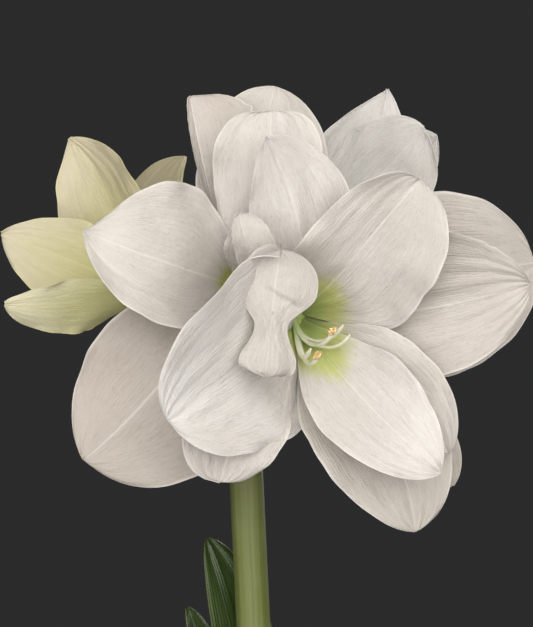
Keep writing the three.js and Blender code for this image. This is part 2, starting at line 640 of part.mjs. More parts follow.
// Stamens and style, which spring from a small disc in the throat and sag before they turn up at the tips
function stamensSolid(bloom) {
  const axis = vec(bloom.axis).normalize();
  const at = (distance) => vec(bloom.base).addScaledVector(axis, distance);
  const discLine = new THREE.LineCurve3(at(TUBE_LENGTH + GAP), at(TUBE_LENGTH + GAP + STAMEN_DISC_HEIGHT));
  const pieces = [stalk(discLine, evenly(1), () => STAMEN_DISC_R, 8)];
  const root = at(TUBE_LENGTH + GAP + STAMEN_DISC_HEIGHT / 3);
  for (const { tip, anther } of STAMENS) {
    const end = vec(tip);
    const forward = end.distanceTo(root);
    const ahead = root.clone().addScaledVector(axis, 0.4 * forward).add(vec(FILAMENT_DROP));
    const sagging = end.clone().addScaledVector(axis, -0.35 * forward);
    sagging.z -= FILAMENT_SAG;
    pieces.push(stalk(new THREE.CubicBezierCurve3(root, ahead, sagging, end), evenly(6), () => FILAMENT_R, 5));
    if (!anther) continue;
    const bar = new THREE.LineCurve3(end.clone().sub(vec(ANTHER_HALF)), end.clone().add(vec(ANTHER_HALF)));
    pieces.push(stalk(bar, evenly(4), (t) => ANTHER_R * lerp(0.5, 1, Math.sin(Math.PI * t)), 6));
  }
  return wasm.Manifold.union(pieces.map(solidOf));
}

// Materials
const matt = (color, roughness) => new THREE.MeshStandardMaterial({ color, roughness, metalness: 0 });
const MATERIALS = {
  clay: matt(0xb5683f, 0.85),
  soil: matt(0x3a2a1f, 0.95),
  bulb: matt(0x9a6f45, 0.8),
  scape: matt(0x93a57f, 0.55),
  leaf: matt(0x4a6b35, 0.5),
  ovary: matt(0x8fa86a, 0.5),
  stamen: matt(0xe6dcae, 0.6),
  white: matt(0xf1eee8, 0.6),
  lime: matt(0xdcdc9a, 0.6),
};

// The whole part
const part = new THREE.Group();

function add(name, solid, look) {
  const mesh = new THREE.Mesh(geometryOf(solid), look);
  mesh.name = name;
  part.add(mesh);
}

// The neck has a pocket for the scape and for each leaf, with the gap below and all round.
const pockets = [scapeGeometry(GAP), ...Object.values(LEAVES).map((leaf) => leafGeometry(leaf, GAP))]
  .map((geometry) => solidOf(geometry.translate(0, 0, -GAP)));

add("pot", potSolid(), MATERIALS.clay);
add("soil", soilSolid(), MATERIALS.soil);
add("bulb", bulbSolid().subtract(wasm.Manifold.union(pockets)), MATERIALS.bulb);
add("scape", solidOf(scapeGeometry()), MATERIALS.scape);
for (const [name, leaf] of Object.entries(LEAVES)) {
  add(`leaf_${name}`, solidOf(leafGeometry(leaf)), MATERIALS.leaf);
}
for (const [name, bloom] of Object.entries(BLOOMS)) {
  add(`pedicel_${name}`, solidOf(pedicelGeometry(bloom)), MATERIALS.ovary);
  add(`bloom_${name}`, bloomSolid(bloom), name === "opening" ? MATERIALS.lime : MATERIALS.white);
}
add("stamens", stamensSolid(BLOOMS.right), MATERIALS.stamen);

export default part;
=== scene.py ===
"""The looks of a potted double amaryllis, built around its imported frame.

Shapes are worked out in millimetres, in the frame's own axes: +Z up, +X to the right and -Y towards the
viewer. make_piece turns them into metres. Every blade repeats the form of its solid and adds what is too fine
for it.
"""

import math

import bpy
import numpy as np
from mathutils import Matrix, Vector


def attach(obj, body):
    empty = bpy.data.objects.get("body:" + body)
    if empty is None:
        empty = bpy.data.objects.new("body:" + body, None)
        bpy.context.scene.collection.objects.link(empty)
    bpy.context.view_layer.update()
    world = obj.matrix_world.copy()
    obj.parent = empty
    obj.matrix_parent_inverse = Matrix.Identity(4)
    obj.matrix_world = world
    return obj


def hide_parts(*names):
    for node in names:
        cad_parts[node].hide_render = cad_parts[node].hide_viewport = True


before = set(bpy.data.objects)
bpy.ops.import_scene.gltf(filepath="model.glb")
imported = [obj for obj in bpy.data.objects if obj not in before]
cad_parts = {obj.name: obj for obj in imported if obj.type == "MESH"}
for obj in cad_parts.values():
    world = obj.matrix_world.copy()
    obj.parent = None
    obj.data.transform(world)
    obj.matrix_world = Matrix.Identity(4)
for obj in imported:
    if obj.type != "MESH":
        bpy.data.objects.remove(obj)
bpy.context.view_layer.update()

MM = 0.001
UP = np.array([0.0, 0.0, 1.0])
RIGHT = np.array([1.0, 0.0, 0.0])
TURN = 2 * math.pi

# Camera and light
CAMERA_PLACE = (0, -1.0, 0.5)
CAMERA_LENS = 95.7
FLOOR_RADIUS = 420
FLOOR_SIDES = 128
STUDIO_GREY = (0.0245, 0.0245, 0.0255)
LIGHTS = {
    "key": dict(place=(0.35, -1.4, 1.0), size=1.6, watts=25, colour=(1.0, 0.965, 0.92)),
    "fill": dict(place=(-0.5, -1.45, 0.5), size=1.8, watts=23, colour=(1.0, 0.975, 0.96)),
    "top": dict(place=(0.1, 0.35, 1.6), size=1.1, watts=6, colour=(1.0, 0.99, 0.97)),
    "back": dict(place=(0.8, 1.3, 0.9), size=1.2, watts=13, colour=(0.98, 0.98, 1.0)),
}
LIGHTS_AIM = (0, 0, 0.45)

# Pot and soil
POT_HEIGHT = 128
POT_BASE_R = 57
POT_TOP_R = 74
POT_RIM_R = 79
POT_RIM_HEIGHT = 24
POT_WALL = 6
POT_FLOOR = 8
POT_BEVEL = 1.5
DRAIN_R = 5
DRAIN_CIRCLE_R = 30
DRAIN_ANGLES = (45, 135, 225, 315)
SOIL_TOP = 113
CRUMB_HEIGHT = 0.9
CRUMBS = 900
GAP = 0.3

# Bulb
NECK_TOP = 178
NECK_POCKET = 14
SKIN_RIB = 0.018
SKIN_FLAKES = 9
BULB_FOOT = 52
BULB_PROFILE = (
    (0, BULB_FOOT), (30, 54), (42, 62), (49, 78), (50, 95), (46, 114), (38, 130), (29, 143), (25, 158),
    (24, NECK_TOP),
)

# Scape and flower stalks
SCAPE_BASE = (-0.5, -5, NECK_TOP - NECK_POCKET)
SCAPE_TOP = (-16, 0, 484)
SCAPE_BASE_R = 12
SCAPE_TOP_R = 10.1
SCAPE_FLARE = 1.3
PEDICEL_R = 3.6
PEDICEL_CIRCLE_R = 5.6
OVARY_R = 6.6

# Leaves
LEAF_THICKNESS = 2.4
LEAF_EDGE = 1
LEAF_ROOT_WIDTH = 18
LEAF_CHANNEL = 16
LEAF_GRID = (96, 32)
LEAVES = {
    "tall": dict(angle=112, ring=16.5, tip=(-36.3, 22, 362), width=40, lean=30),
    "short": dict(angle=142, ring=20.8, tip=(-48.2, 12, 321.5), width=34, lean=24),
    "right": dict(angle=8, ring=17, tip=(48, 26, 300), width=34, lean=30),
    "front": dict(angle=-42, ring=20.5, tip=(40, -42, 262), width=30, lean=30),
}

# Tepals
TEPAL_TIP = 0.8
ROOT_DEPTH = 2
ROOT_R = 5.2
LAYER_STEP = 0.9
TUBE_R = 7.5
THROAT_DEPTH = 7
WAVES = 2
# Rows and columns of a blade. A tepal narrower than SMALL_WIDTH has the small grid.
SMALL_WIDTH = 45
SMALL_GRID = (36, 30)
LARGE_GRID = (58, 46)
RUFFLE_GRID = (70, 44)
# A tepal's share of painted shade darkens it where it lies in shadow.
TEPAL = {
    "width": 60, "widest": 0.6, "blunt": 0.62, "claw": 4.5, "lopsided": 0, "layer": 0, "funnel": 44,
    "reach": 0.36, "lie": 10, "sway": 0, "roll": 0, "cup": 18, "fold": 0, "curlRight": 0, "wave": 2,
    "phase": 0, "midrib": 0.5, "pleats": 0.16, "rim": -14, "ragged": 0, "green": 1, "painted_shade": 0,
}

# The ruffled petal-like stamen: its length and depths in mm, shares of its length from the hem at 0 to the top
# at 1, and its lobe's edge, low down and high up, in shares of its half width
RUFFLE_LENGTH = 64
RUFFLE_HEM = 0.14
RUFFLE_HEM_RUN = 0.16
RUFFLE_HEM_ROUND = 0.12
RUFFLE_TOP_ROUND = 0.22
RUFFLE_FLARE = 0.28
RUFFLE_FOLDS = 1.1
RUFFLE_LOBE_DEPTH = 1.8
RUFFLE_LOBE_EDGES = (1.1, -0.25)
RUFFLE_FORWARD = 9
# The ruffle's greenness and its share of painted shade
RUFFLE_GREEN, RUFFLE_PAINTED_SHADE = 0.55, 0.45
BLOOMS = {
    "right": {
        "base": (14, -38, 499), "axis": (0.3, -0.93, -0.16), "mouth": 15, "green": 1, "stalk_angle": -20,
        "tepals": {
            "upperRight": dict(
                apex=(81.5, -118, 571), width=76, lie=21, fold=8, sway=7, roll=-12, lopsided=-0.17,
                widest=0.5, blunt=0.36, layer=1, painted_shade=0.4,
            ),
            "right": dict(
                apex=(145.5, -80, 516.5), width=90, lie=9, cup=12, fold=12, sway=-4, roll=-5, lopsided=0.11,
                widest=0.47, blunt=0.64, phase=0.2, pleats=0.6, ragged=0.6, painted_shade=0.65,
            ),
            "rightBack": dict(
                apex=(153, -48, 529), width=103, lie=-6, cup=12, sway=9, roll=-12, widest=0.57, blunt=0.54,
                layer=-1, phase=0.5, painted_shade=0.6,
            ),
            "lowerRight": dict(
                apex=(92.5, -118, 416), width=57, lie=12, cup=14, sway=-13, blunt=0.69, curlRight=18,
                green=1.25, layer=1, phase=0.7, pleats=0.4, painted_shade=0.2,
            ),
            "lowerRightMid": dict(
                apex=(99, -92, 424), width=62, lie=8, cup=8, roll=14, phase=0.1, painted_shade=0.45,
            ),
            "lowerBack": dict(
                apex=(82, -82, 380), width=75, lie=1, cup=12, sway=17, roll=5, lopsided=-0.1, widest=0.52,
                blunt=0.58, phase=0.35, painted_shade=0.7,
            ),
            "lowerRightBack": dict(apex=(103.9, -66, 403.4), width=50, lie=-5, cup=12, layer=-1, painted_shade=0.7),
            "leftFront": dict(
                apex=(-51.5, -132, 444.5), width=111, lie=10, cup=14, fold=8, sway=-7, roll=-10,
                lopsided=-0.1, widest=0.42, blunt=0.44, layer=1, green=0.6,
            ),
            "lowerLeftBack": dict(
                apex=(-25, -100, 409), width=60, lie=-4, cup=10, sway=-18, lopsided=-0.12, widest=0.7,
                blunt=0.39, phase=0.45, painted_shade=0.4,
            ),
            "top": dict(
                apex=(-0.5, -108, 594), width=63, lie=12, cup=12, fold=-22, sway=-14, roll=-8,
                lopsided=-0.16, widest=0.52, blunt=0.78, phase=0.15, midrib=-0.8, green=0.6, painted_shade=0.1,
            ),
            "curlTop": dict(
                apex=(-15, -106, 553.5), waist=(-6, -80, 512), shoulder=(-9, -110, 530), width=25, claw=2.5,
                cup=4, lopsided=0.35, widest=0.42, blunt=0.36, layer=2, wave=1, fold=8, ragged=0.8,
                painted_shade=0.5,
            ),
            "curlClaw": dict(
                apex=(3, -116.2, 500.5), width=11, mouth=13, funnel=16, blunt=0.3, layer=2, cup=0, wave=0,
            ),
        },
        "ruffle": dict(
            spine=((-0.8, -124, 467), (3, -127, 486), (2, -104, 504), (7.5, -120, 534)), hem=31, waist=18,
            top=47, waist_at=0.46,
        ),
    },
    "left": {
        "base": (-12, -22, 514), "axis": (-0.16, -0.96, 0.1), "mouth": 10, "green": 0.64,
        "stalk_angle": -110,
        "tepals": {
            "left": dict(
                apex=(-99.5, -92, 545), width=82, lie=-8, cup=20, sway=5, roll=12, lopsided=-0.13,
                widest=0.53, blunt=0.95, layer=1, phase=0.1, painted_shade=0.45,
            ),
            "lowerLeft": dict(
                apex=(-103, -60, 417.5), width=101, lie=-8, cup=14, fold=-12, sway=12, roll=-6,
                lopsided=0.09, widest=0.57, blunt=0.57, phase=0.4, midrib=-0.9, painted_shade=1,
            ),
            "topLeft": dict(
                apex=(-44, -40, 625), width=42, lie=1, cup=12, sway=4, roll=12, lopsided=-0.82, widest=0.75,
                blunt=0.36, phase=0.8, ragged=1.2, painted_shade=0.8,
            ),
            "topRight": dict(
                apex=(5, -34, 631.5), width=76, lie=1, sway=4, lopsided=-0.12, blunt=0.55, layer=-1,
                phase=0.3, painted_shade=0.5,
            ),
            "topInner": dict(
                apex=(2.5, -76, 612.5), width=62, lie=16, cup=12, sway=-10, widest=0.75, blunt=0.28,
                layer=1, phase=0.2, painted_shade=0.35,
            ),
            "leftBack": dict(
                apex=(-84, -36, 540), width=56, lie=-10, cup=14, layer=-1, phase=0.65, painted_shade=0.6,
            ),
            "low": dict(apex=(-43.6, -50, 411), width=62, lie=0, cup=14, layer=-1, phase=0.55, painted_shade=0.6),
            "innerSmall": dict(apex=(-6, -82, 556), width=26, lie=50, cup=30, layer=2, wave=1, painted_shade=0.4),
        },
    },
    "opening": {
        "base": (-58, 15, 503), "axis": (-0.82, -0.3, 0.48), "mouth": 9.5, "green": 1, "stalk_angle": 160,
        "tepals": {
            "upright": dict(
                apex=(-123.3, 45, 610.2), width=66, lie=62, cup=16, fold=12, sway=-2, roll=18, lopsided=0.1,
                widest=0.57, blunt=0.9, funnel=40, phase=0.1, painted_shade=0.7,
            ),
            "left": dict(
                apex=(-163, 25, 548.5), width=56, lie=61, cup=16, fold=8, sway=-3, roll=-6, lopsided=0.09,
                widest=0.53, blunt=0.79, funnel=40, layer=1, phase=0.5, painted_shade=0.55,
            ),
            "low": dict(
                apex=(-150, -45, 505.5), width=35, lie=69, cup=30, sway=4, roll=48, lopsided=-0.18,
                widest=0.54, blunt=0.65, funnel=40, phase=0.8, painted_shade=0.15,
            ),
            "far": dict(
                apex=(-51.4, 60, 599.8), width=62, lie=11, cup=22, sway=25, roll=7, lopsided=0.63,
                widest=0.73, blunt=0.66, funnel=40, layer=1, phase=0.3, painted_shade=0.8,
            ),
            "farLow": dict(apex=(-140, 72, 508), width=54, lie=55, cup=24, funnel=40, phase=0.6),
            "innerFront": dict(apex=(-98, 12, 548), width=32, lie=80, cup=36, funnel=30, layer=2),
            "innerBack": dict(apex=(-96, 30, 540), width=32, lie=80, cup=36, funnel=30, layer=2),
        },
    },
    "back": {
        "base": (8, 30, 522), "axis": (0.58, 0.62, 0.4), "mouth": 12, "green": 0.85, "stalk_angle": 70,
        "tepals": {
            "topLeft": dict(
                apex=(74, 18, 637), width=64, lie=11, sway=11, roll=12, lopsided=-0.19, widest=0.53,
                blunt=1, phase=0.2,
            ),
            "top": dict(
                apex=(95.5, 8, 612), width=71, lie=11, cup=20, sway=-4, widest=0.58, blunt=0.55, layer=-1,
                phase=0.4,
            ),
            "topRight": dict(
                apex=(106, 36, 610.5), width=55, lie=15, sway=-7, blunt=0.72, layer=1, phase=0.7,
            ),
            "farLeft": dict(apex=(30, 120, 616), width=64, lie=0, layer=1, phase=0.3),
            "far": dict(apex=(62, 148, 560), width=66, lie=0, phase=0.6),
            "farLow": dict(apex=(72, 112, 468), width=66, lie=-4, cup=16, layer=1, phase=0.1),
            "right": dict(apex=(126, 52, 520), width=66, lie=-4, cup=16, phase=0.5),
            "innerHigh": dict(apex=(74, 92, 590), width=40, lie=35, cup=24, layer=2, phase=0.2),
            "innerLow": dict(apex=(88, 92, 530), width=40, lie=35, cup=24, layer=2, phase=0.5),
        },
    },
}

# Stamens and style
STAMENS = (
    {"tip": (41.3, -100, 493.8), "anther": False},
    {"tip": (45, -98, 488.4), "anther": False},
    {"tip": (36, -104, 490), "anther": True},
    {"tip": (27.8, -106, 477), "anther": True},
    {"tip": (24, -98, 481), "anther": False},
)
FILAMENT_R = 1.5
FILAMENT_SAG = 17
FILAMENT_DROP = (-5, 0, -12)
ANTHER_R = 1.8
ANTHER_HALF = (2.4, 0, 1.8)


def unit(v):
    """v, or each row of v, with length 1."""
    return v / np.linalg.norm(v, axis=-1, keepdims=True)


def smooth(x):
    """0 up to 0, 1 from 1, and a soft step between them."""
    c = np.clip(x, 0, 1)
    return c * c * (3 - 2 * c)


def lerp(a, b, share):
    return a + (b - a) * share


def ripples(points, size, seed, waves=12):
    """An irregular but smooth height, mostly within -1 to 1, in lumps about size across."""
    random = np.random.RandomState(seed)
    ways = unit(random.normal(size=(waves, points.shape[-1])))
    lengths = size * random.uniform(0.7, 1.5, waves)
    starts = random.uniform(0, TURN, waves)
    turns = points @ (ways / lengths[:, None]).T * TURN + starts
    return np.sin(turns).sum(-1) / math.sqrt(waves)


def curve(points, t):
    """Places and directions along a cubic Bezier curve, one row for each t."""
    a, b, c, d = (np.array(p, float) for p in points)
    t = np.asarray(t, float)[:, None]
    u = 1 - t
    place = u**3 * a + 3 * u**2 * t * b + 3 * u * t**2 * c + t**3 * d
    slope = u**2 * (b - a) + 2 * u * t * (c - b) + t**2 * (d - c)
    return place, unit(slope)


def evenly_along(points, count):
    """Places and directions at count evenly spaced points of a cubic Bezier curve."""
    t = np.linspace(0, 1, 400)
    place, _ = curve(points, t)
    run = np.concatenate([[0], np.cumsum(np.linalg.norm(np.diff(place, axis=0), axis=1))])
    return curve(points, np.interp(np.linspace(0, run[-1], count), run, t))


def loft(rings, values):
    """A closed skin through rings of points, as (points, faces, values). The rings run counter-clockwise
    about the way from the first to the last. A ladder between each end ring's two halves closes that end."""
    rows, count, _ = rings.shape
    index = np.arange(rows * count).reshape(rows, count)
    a = index[:-1]
    b = np.roll(a, -1, axis=1)
    c = index[1:]
    d = np.roll(c, -1, axis=1)
    faces = [np.stack([a, b, d, c], -1).reshape(-1, 4)]
    i = np.arange(count // 2 - 1)
    ladder = np.stack([i, i + 1, count - 2 - i, count - 1 - i], -1)
    faces.append(ladder[:, ::-1])
    faces.append(ladder + (rows - 1) * count)
    flat = {name: np.broadcast_to(v, (rows, count)).reshape(-1) for name, v in values.items()}
    return rings.reshape(-1, 3), np.concatenate(faces), flat


def tube(place, along, radius, sides, values=None, squeeze=None):
    """A round stalk along places. radius is given by row and by angle, and squeeze flattens it one way."""
    normal = np.array([0.31, 0.87, 0.38])
    angles = np.arange(sides) * TURN / sides
    rings = []
    for row, (at, ahead) in enumerate(zip(place, along)):
        normal = unit(normal - normal @ ahead * ahead)
        binormal = np.cross(ahead, normal)
        r = radius(row / (len(place) - 1), angles)
        flat = 1 if squeeze is None else squeeze(row / (len(place) - 1))
        rounded = np.outer(r * np.cos(angles), normal)
        rings.append(at + rounded + np.outer(r * flat * np.sin(angles), binormal))
    rings = np.array(rings)
    shares = np.linspace(0, 1, len(place))[:, None]
    return loft(rings, {"along": shares, "aside": np.cos(angles)[None, :], **(values or {})})


def turned(profile, sides, relief=None):
    """A solid turned about the upright axis from a profile of (radius, height), then moved by relief."""
    profile = np.array(profile, float)
    angles = np.arange(sides) * TURN / sides
    round_about = np.stack([np.cos(angles), np.sin(angles), np.zeros(sides)], -1)
    inner = profile[1:-1]
    rings = inner[:, None, :1] * round_about + inner[:, None, 1:] * UP
    points = np.concatenate([rings.reshape(-1, 3), [[0, 0, profile[0, 1]], [0, 0, profile[-1, 1]]]])
    index = np.arange(len(inner) * sides).reshape(-1, sides)
    a = index[:-1]
    b = np.roll(a, -1, axis=1)
    c = index[1:]
    d = np.roll(c, -1, axis=1)
    quads = np.stack([a, b, d, c], -1).reshape(-1, 4)
    first, last = index[0], index[-1]
    start = np.stack([np.full(sides, len(points) - 2), np.roll(first, -1), first], -1)
    end = np.stack([last, np.roll(last, -1), np.full(sides, len(points) - 1)], -1)
    if relief is not None:
        points = relief(points)
    return points, [quads, start, end], {}


def flat_places(t, s, width, length):
    """The places t, s on a flat copy of a blade, in millimetres across and along it."""
    return np.stack(np.broadcast_arrays(s * width / 2, t * length), -1)


def blade_surface(blade, t, s):
    """The middle surface of a blade, rows t from root to apex by columns s from -1 to 1, in short steps
    outwards, each turned by the blade's own bend there."""
    place, along = curve(blade["spine"], t)
    side = unit(blade["across"] - (along @ blade["across"])[:, None] * along)
    turn = (math.radians(blade["roll"]) * smooth(t / 0.45))[:, None]
    side = side * np.cos(turn) + np.cross(along, side) * np.sin(turn)
    inner = np.cross(along, side)
    rows, columns = t[:, None], s[None, :]
    lopsided = 1 + blade["lopsided"] * np.sign(columns) * smooth(rows / 0.4)
    steps = 20
    step = blade["half_width"](rows) * lopsided * columns / steps
    out = np.zeros_like(step)
    up = blade["relief"](rows, columns)
    for i in range(steps):
        angle = blade["bend"](rows, columns * (i + 0.5) / steps)
        out = out + np.cos(angle) * step
        up = up + np.sin(angle) * step
    return place[:, None] + side[:, None] * out[..., None] + inner[:, None] * up[..., None]


def blade_solid(blade, rows, columns, values):
    """A closed blade, with half of its thickness on each face. Rows are closer near the apex."""
    t = 1 - (1 - np.linspace(0, 1, rows + 1)) ** 1.3
    u = np.linspace(-1, 1, columns + 1)
    s = np.sign(u) * (1 - (1 - np.abs(u)) ** 1.25)
    surface = blade_surface(blade, t, s)
    by_t = np.gradient(surface, axis=0)
    by_s = np.gradient(surface, axis=1)
    normal = unit(np.cross(by_t, by_s))
    half = blade["thickness"](t[:, None], s[None, :])[..., None] / 2
    rings = np.concatenate([surface - normal * half, (surface + normal * half)[:, ::-1]], axis=1)
    across = np.concatenate([s, s[::-1]])
    mine = {"along": t[:, None], "aside": across[None, :]}
    return loft(rings, {**mine, **values})


# The bulb, soil and pot share these curves.
def pot_outer_r(z):
    return lerp(POT_BASE_R, POT_TOP_R, z / POT_HEIGHT)


def bulb_radius(z):
    radii, heights = np.array(BULB_PROFILE, float).T
    return np.interp(z, heights, radii)


def joined(parts):
    """Several (points, faces, values) as one."""
    names = {name for _, _, values in parts for name in values}
    points, quads, triangles = [], [], []
    values = {name: [] for name in names}
    first = 0
    for part_points, part_faces, part_values in parts:
        points.append(part_points)
        for block in part_faces if isinstance(part_faces, list) else [part_faces]:
            (quads if block.shape[1] == 4 else triangles).append(block + first)
        for name in names:
            values[name].append(part_values.get(name, np.zeros(len(part_points))))
        first += len(part_points)
    faces = [np.concatenate(blocks) for blocks in (quads, triangles) if blocks]
    return np.concatenate(points), faces, {name: np.concatenate(v) for name, v in values.items()}


def new_mesh(name, points, faces):
    """A mesh from points in millimetres and blocks of faces."""
    mesh = bpy.data.meshes.new(name)
    mesh.from_pydata((points * MM).tolist(), [], [face for block in faces for face in block.tolist()])
    return mesh


def new_object(name, data):
    """An object with that data, in the scene."""
    made = bpy.data.objects.new(name, data)
    bpy.context.scene.collection.objects.link(made)
    return made


def make_piece(name, parts, material, replaced=(), sharp=math.radians(50)):
    """A piece of the object from its parts, riding on the part's one body. Edges bent by more than sharp stay
    crisp."""
    points, faces, values = joined(parts)
    mesh = new_mesh(name, points, faces)
    for key, numbers in values.items():
        mesh.attributes.new(key, "FLOAT", "POINT").data.foreach_set("value", numbers.astype(np.float32))
    mesh.shade_smooth()
    mesh.set_sharp_from_angle(angle=sharp)
    mesh.materials.append(material)
    piece = new_object(name, mesh)
    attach(piece, "root")
    if replaced:
        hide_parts(*replaced)
    return piece


class Look:
    """A material's nodes, made by short calls that return their outputs."""

    def __init__(self, name):
        self.material = bpy.data.materials.new(name)
        self.material.use_nodes = True
        self.tree = self.material.node_tree
        self.tree.nodes.clear()
        self.object_place = self.node("ShaderNodeTexCoord").outputs["Object"]

    def node(self, kind, settings=None, **inputs):
        """A node of that kind. An input's name has _ for each space, or is i and its number. Its value is a
        number, a colour or an output."""
        made = self.tree.nodes.new(kind)
        for key, value in (settings or {}).items():
            setattr(made, key, value)
        for key, value in inputs.items():
            self.feed(made.inputs[int(key[1:]) if key[1:].isdigit() else key.replace("_", " ")], value)
        return made

    def feed(self, socket, value):
        if isinstance(value, bpy.types.NodeSocket):
            self.tree.links.new(value, socket)
        else:
            socket.default_value = value

    def value(self, name):
        """A number that the mesh carries at each point."""
        return self.node("ShaderNodeAttribute", {"attribute_name": name}).outputs["Fac"]

    def sum(self, a, b, operation="ADD"):
        return self.node("ShaderNodeMath", {"operation": operation}, i0=a, i1=b).outputs[0]

    def times(self, a, b):
        return self.sum(a, b, "MULTIPLY")

    def size_of(self, a):
        return self.sum(a, 0.0, "ABSOLUTE")

    def place(self, x, y, z):
        return self.node("ShaderNodeCombineXYZ", i0=x, i1=y, i2=z).outputs[0]

    def stretched(self, aside, across, along, lengthwise, third):
        """A place for noise that runs differently across a blade and along it."""
        return self.place(self.times(aside, across), self.times(along, lengthwise), third)

    def noise(self, place, scale, detail=3.0, roughness=0.55):
        made = self.node("ShaderNodeTexNoise", Vector=place, Scale=scale, Detail=detail, Roughness=roughness)
        return made.outputs["Fac"]

    def cells(self, place, scale, feature="F1"):
        made = self.node("ShaderNodeTexVoronoi", {"feature": feature}, Vector=place, Scale=scale)
        return made.outputs["Distance"]

    def ramp(self, value, start, end, low=0.0, high=1.0):
        """A soft step of value from low at start to high at end."""
        settings = {"interpolation_type": "SMOOTHSTEP"}
        made = self.node("ShaderNodeMapRange", settings, Value=value, From_Min=start, From_Max=end)
        made.inputs["To Min"].default_value = low
        made.inputs["To Max"].default_value = high
        return made.outputs[0]

    def mixed(self, share, a, b, blend="MIX"):
        """Colour b over colour a by share."""
        made = self.node("ShaderNodeMix", {"data_type": "RGBA", "blend_type": blend})
        self.feed(made.inputs[0], share)
        self.feed(made.inputs[6], a)
        self.feed(made.inputs[7], b)
        return made.outputs[2]

    def tinted(self, colour, tint, value, start, end, share=None):
        """Colour with tint over it: none where value is at start, in full, or by share, from end on."""
        amount = self.ramp(value, start, end)
        if share is not None:
            amount = self.times(amount, share)
        return self.mixed(amount, colour, tint)

    def bump(self, height, strength, distance, under=None):
        made = self.node("ShaderNodeBump", Height=height, Strength=strength, Distance=distance)
        if under is not None:
            self.feed(made.inputs["Normal"], under)
        return made.outputs[0]

    def thin(self, front, colour, normal, share):
        """The surface front on a blade so thin that a share of the light comes through it."""
        through = self.node("ShaderNodeBsdfTranslucent", Color=colour, Normal=normal).outputs[0]
        return self.node("ShaderNodeMixShader", i0=share, i1=front, i2=through).outputs[0]

    def finish(self, shader):
        out = self.node("ShaderNodeOutputMaterial")
        self.feed(out.inputs["Surface"], shader)
        return self.material

    def surface(self, colour, roughness, normal, **settings):
        principled = self.node(
            "ShaderNodeBsdfPrincipled", Base_Color=colour, Roughness=roughness, Normal=normal, **settings
        )
        return principled.outputs[0]


def rgb(red, green, blue):
    return (red, green, blue, 1.0)


# Painted shade: the colour of a tepal that lies back in shadow is multiplied by this, by its share of painted
# shade.
PAINTED_SHADE_TINT = rgb(0.72, 0.67, 0.62)


def tepal_look(name, pale, shade, base, throat, edge, reach):
    """A thin tepal: parallel veins, a crystalline surface, fine crossing creases darkened with painted shade,
    a pale midrib line painted as a highlight, a darker tint painted on tepals that lie in shadow, and green
    that runs up from the root. reach gives, in centimetres from the root, where the green is full, where it
    ends, and where its dark throat is full."""
    look = Look(name)
    along, aside = look.value("along"), look.value("aside")
    tone, depth = look.value("tone"), look.value("depth")
    blade = look.stretched(aside, 11.0, along, 2.2, look.times(tone, 40.0))
    close = look.stretched(aside, 34.0, along, 5.5, look.times(tone, 40.0))
    apart = look.ramp(along, 0.97, 0.72, 0.25, 1.0)
    veins = look.noise(blade, 1.0, 4.0, 0.6)
    fine_veins = look.noise(close, 1.0, 3.0, 0.7)
    creases = look.noise(look.stretched(aside, 26.0, along, 34.0, tone), 1.0, 4.0, 0.65)
    crinkled_place = look.stretched(aside, 9.0, along, 13.0, look.times(tone, 60.0))
    crinkles = look.noise(crinkled_place, 1.0, 5.0, 0.6)
    grains = look.cells(look.object_place, 900.0)
    clouds = look.noise(look.object_place, 26.0, 3.0)
    lines = look.sum(look.times(aside, 165.0), look.times(veins, 26.0))
    stripes = look.node("ShaderNodeMath", {"operation": "SINE"}, i0=lines).outputs[0]
    colour = look.mixed(look.times(look.ramp(clouds, 0.35, 0.7), 0.5), pale, shade)
    colour = look.mixed(look.times(look.times(look.ramp(stripes, 0.1, 1.0), 0.16), apart), colour, shade)
    colour = look.mixed(look.times(look.times(look.ramp(veins, 0.38, 0.72), 0.2), apart), colour, shade)
    colour = look.mixed(look.times(look.times(look.ramp(fine_veins, 0.45, 0.7), 0.25), apart), colour, shade)
    # Painted shade: the fine creases are darkened towards the shade colour, more in some patches than others
    crease_shade = look.times(look.ramp(creases, 0.5, 0.66), look.ramp(clouds, 0.35, 0.62, 0.25, 0.75))
    colour = look.mixed(crease_shade, colour, shade)
    streaked = look.sum(depth, look.times(look.sum(fine_veins, veins), -1.5))
    from_rib = look.sum(streaked, look.times(look.size_of(aside), 1.4))
    near, far, dark = reach
    colour = look.tinted(colour, base, from_rib, far, near, 0.85)
    colour = look.tinted(colour, throat, from_rib, near, dark, 0.9)
    # Painted shade: tepals that lie in shadow are darkened by a greyer tint
    colour = look.mixed(look.value("painted_shade"), colour, PAINTED_SHADE_TINT, "MULTIPLY")
    margin = look.ramp(look.size_of(aside), 0.95, 0.995)
    colour = look.mixed(look.times(margin, 0.6), colour, edge)
    # Painted highlight: a pale line down the midrib, where its ridge catches the light
    colour = look.tinted(colour, edge, look.size_of(aside), 0.028, 0.0, 0.45)
    normal = look.bump(veins, look.times(apart, 0.35), 0.0012)
    normal = look.bump(stripes, look.times(apart, 0.4), 0.00022, normal)
    normal = look.bump(fine_veins, look.times(apart, 0.35), 0.0006, normal)
    normal = look.bump(crinkles, 0.5, 0.0012, normal)
    normal = look.bump(creases, 0.5, 0.0007, normal)
    normal = look.bump(grains, 0.35, 0.0003, normal)
    roughness = look.ramp(look.noise(look.object_place, 700.0, 2.0), 0.3, 0.7, 0.38, 0.62)
    front = look.surface(
        colour, roughness, normal,
        Specular_IOR_Level=0.35, Sheen_Weight=0.12, Sheen_Roughness=0.4, Sheen_Tint=rgb(1, 1, 1),
    )
    return look.finish(look.thin(front, colour, normal, 0.3))


